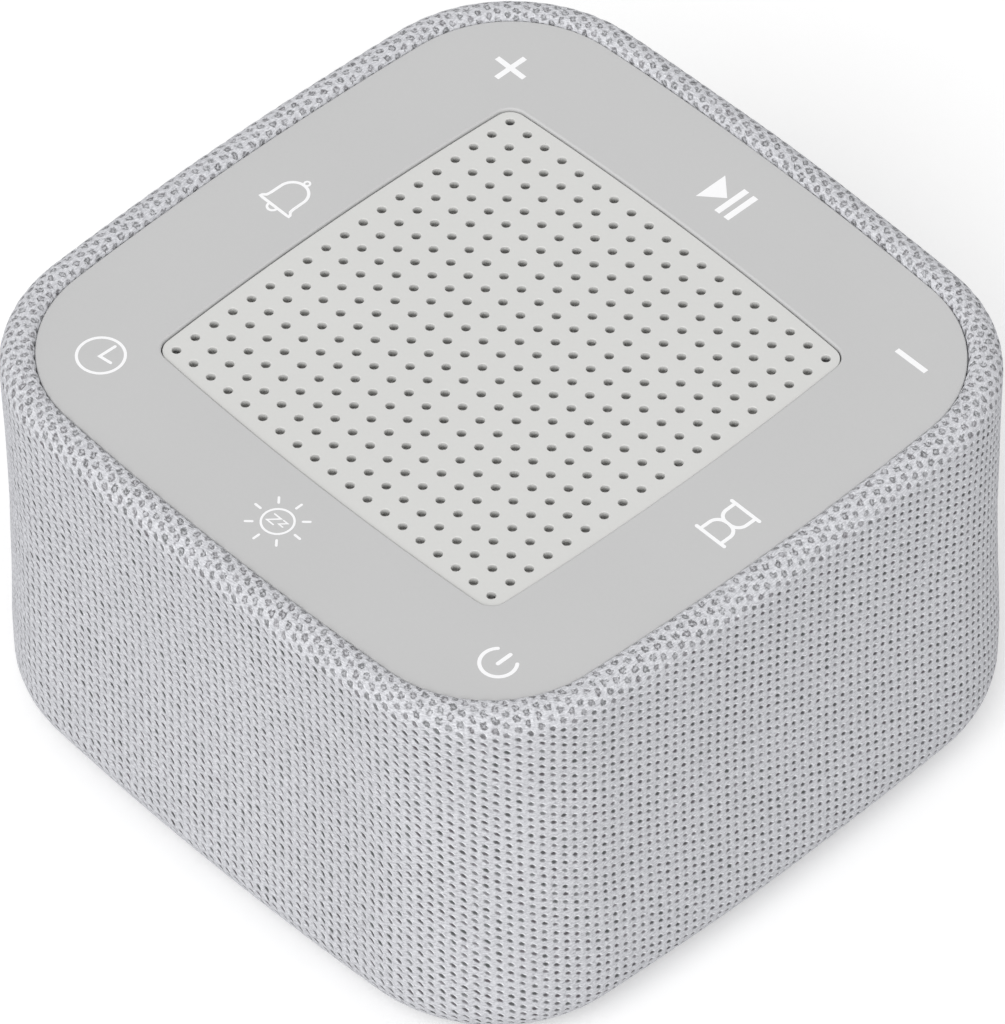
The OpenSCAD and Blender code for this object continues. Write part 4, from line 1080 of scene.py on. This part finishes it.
dress(
    solid_finish("black chip resin", rgb(34, 34, 36), 0.5, grain=1.5, grain_scale=1800.0, wear=0.12),
    "control_chips",
)
dress(solid_finish("capacitor sleeve", rgb(44, 52, 70), 0.35, grain_scale=1200.0, coat=0.3), "capacitors")
dress(solid_finish("cream connector", rgb(228, 222, 202), 0.45, grain_scale=1200.0), "board_connectors")
dress(solid_finish("black holder plastic", rgb(36, 36, 38), 0.5, grain_scale=1200.0, wear=0.1), "cell_holder")
dress(solid_finish("coin cell steel", rgb(205, 206, 208), 0.28, metallic=1.0, scratch=True), "backup_cell")
dress(solid_finish("socket shell steel", rgb(190, 192, 196), 0.3, metallic=1.0, scratch=True), "power_socket")
dress(
    solid_finish("black bezel plastic", rgb(42, 42, 44), 0.5, grain=1.5, grain_scale=1300.0, wear=0.1),
    "port_bezel",
)
soften(0.2, "port_bezel")

# ---------- display ----------
# Behind the front fabric, a smoked window closes the shell. The reflector block gives each segment its light
# channel, filled with a milky diffuser, and the display board holds the lamps behind them.

dress(solid_finish("smoked window", rgb(40, 40, 44), 0.18, grain=0.2, coat=0.6), "display_lens")
dress(
    solid_finish("black reflector plastic", rgb(30, 30, 32), 0.5, grain_scale=1300.0, wear=0.1),
    "display_reflector",
)
dress(solid_finish("milky diffuser", rgb(224, 222, 214), 0.4, grain_scale=1300.0), "display_segments")

# ---------- cables inside ----------
# Two flat ribbons join the boards, and two thin leads run from the loudspeaker's terminals to their plug.


def curved(path, steps=12):
    """A smooth path through points, millimetres."""
    pts = [Vector(p) for p in path]
    out = []
    for i in range(len(pts) - 1):
        a, b, c, d = pts[max(i - 1, 0)], pts[i], pts[i + 1], pts[min(i + 2, len(pts) - 1)]
        for step in range(steps):
            t = step / steps
            square = (2 * a - 5 * b + 4 * c - d) * t * t
            cube = (3 * b - a - 3 * c + d) * t**3
            out.append(0.5 * (2 * b + (c - a) * t + square + cube))
    return out + [pts[-1]]


def ribbon(name, path, width, thick, place, finish, node):
    """A flat cable along a path in its own plane."""
    line = curved(path)
    pts, polys = [], []
    for i, p in enumerate(line):
        d = (line[min(i + 1, len(line) - 1)] - line[max(i - 1, 0)]).normalized()
        off = Vector((-d.y, d.x)) * thick
        for q, w in ((p, -width / 2), (p, width / 2), (p + off, width / 2), (p + off, -width / 2)):
            pts.append(place(q.x, q.y, w))
    for i in range(len(line) - 1):
        for k in range(4):
            polys.append((4 * i + k, 4 * i + (k + 1) % 4, 4 * i + 4 + (k + 1) % 4, 4 * i + 4 + k))
    polys += [(3, 2, 1, 0), tuple(4 * (len(line) - 1) + k for k in range(4))]
    made = put_mesh(name, np.array(pts) * MM, polys, finish, smooth=False)
    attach(made, "root")
    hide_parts(node)


def striped_finish(axis, pitch):
    """Pale cable film over parallel tinned conductors."""
    made = bpy.data.materials.new(f"flat cable {axis}")
    made.use_nodes = True
    tree = made.node_tree
    tree.nodes.clear()
    place = add(tree, "ShaderNodeNewGeometry", out="Position")
    xyz = add(tree, "ShaderNodeSeparateXYZ", {}, {0: place}).socket.node
    stripe = ((Term(tree, xyz.outputs[axis]) * (2 * math.pi / (pitch * MM))).sine()).ease(-0.2, 0.5)
    colour = mix_colour(tree, stripe, rgb(226, 226, 222), rgb(168, 168, 166))
    bump = add(tree, "ShaderNodeBump", {}, {"Strength": 0.6, "Distance": 0.00006, "Height": stripe})
    body = add(tree, "ShaderNodeBsdfPrincipled", {}, {"Base Color": colour, "Roughness": 0.4, "Normal": bump})
    add(tree, "ShaderNodeOutputMaterial", {}, {"Surface": body})
    return made


BOARD_TOP = 11.6
KEY_BOARD_LOW = 53.0
RIBBON_W = 12
RIBBON_T = 0.25
ribbon(
    "key_flat_cable",
    [
        (-32.95, KEY_BOARD_LOW - 1.5),
        (-32.1, KEY_BOARD_LOW - 1.6),
        (-31.6, KEY_BOARD_LOW - 2.6),
        (-31.6, 34),
        (-31.6, BOARD_TOP + 3.6),
        (-31.2, BOARD_TOP + 2.0),
        (-29.75, BOARD_TOP + 1.3),
    ],
    RIBBON_W,
    RIBBON_T,
    lambda a, b, w: (a, w, b),
    striped_finish("Y", 1.0),
    "key_ribbon",
)
ribbon(
    "display_flat_cable",
    [(-36.45, 16.6), (-35.6, 16.4), (-34.0, 15.2), (-32.2, 13.9), (-30.85, 12.95)],
    RIBBON_W,
    RIBBON_T,
    lambda a, b, w: (w, a, b),
    striped_finish("X", 1.0),
    "display_ribbon",
)

LEAD_R = 0.6
for side, name, colour in ((1, "red", rgb(150, 34, 32)), (-1, "black", rgb(34, 34, 36))):
    route = curved(
        [
            (side * 3, 25.2, 44.5),
            (side * 3, 26.6, 40.7),
            (side * 2 - 4, 28, 32),
            (side * 2 - 12, 28, 25),
            (side * 1.6 - 20, 24.6, 21.4),
            (side * 1.6 - 20, 24, 17.9),
        ],
        6,
    )
    line = bpy.data.curves.new(f"speaker_lead_{name}", "CURVE")
    line.dimensions = "3D"
    line.bevel_depth = LEAD_R * MM
    line.bevel_resolution = 4
    line.use_fill_caps = True
    spline = line.splines.new("POLY")
    spline.points.add(len(route) - 1)
    for point, place in zip(spline.points, route):
        point.co = (*(place * MM), 1)
    vinyl = solid_finish(f"{name} lead vinyl", colour, 0.45, grain=0.6, grain_scale=1200.0, wear=0.08)
    line.materials.append(vinyl)
    lead = bpy.data.objects.new(f"speaker_lead_{name}", line)
    scene.collection.objects.link(lead)
    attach(lead, "root")
    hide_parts("speaker_leads")
    run = sum((b - a).length for a, b in zip(route, route[1:])) * MM
    route[0] * MM
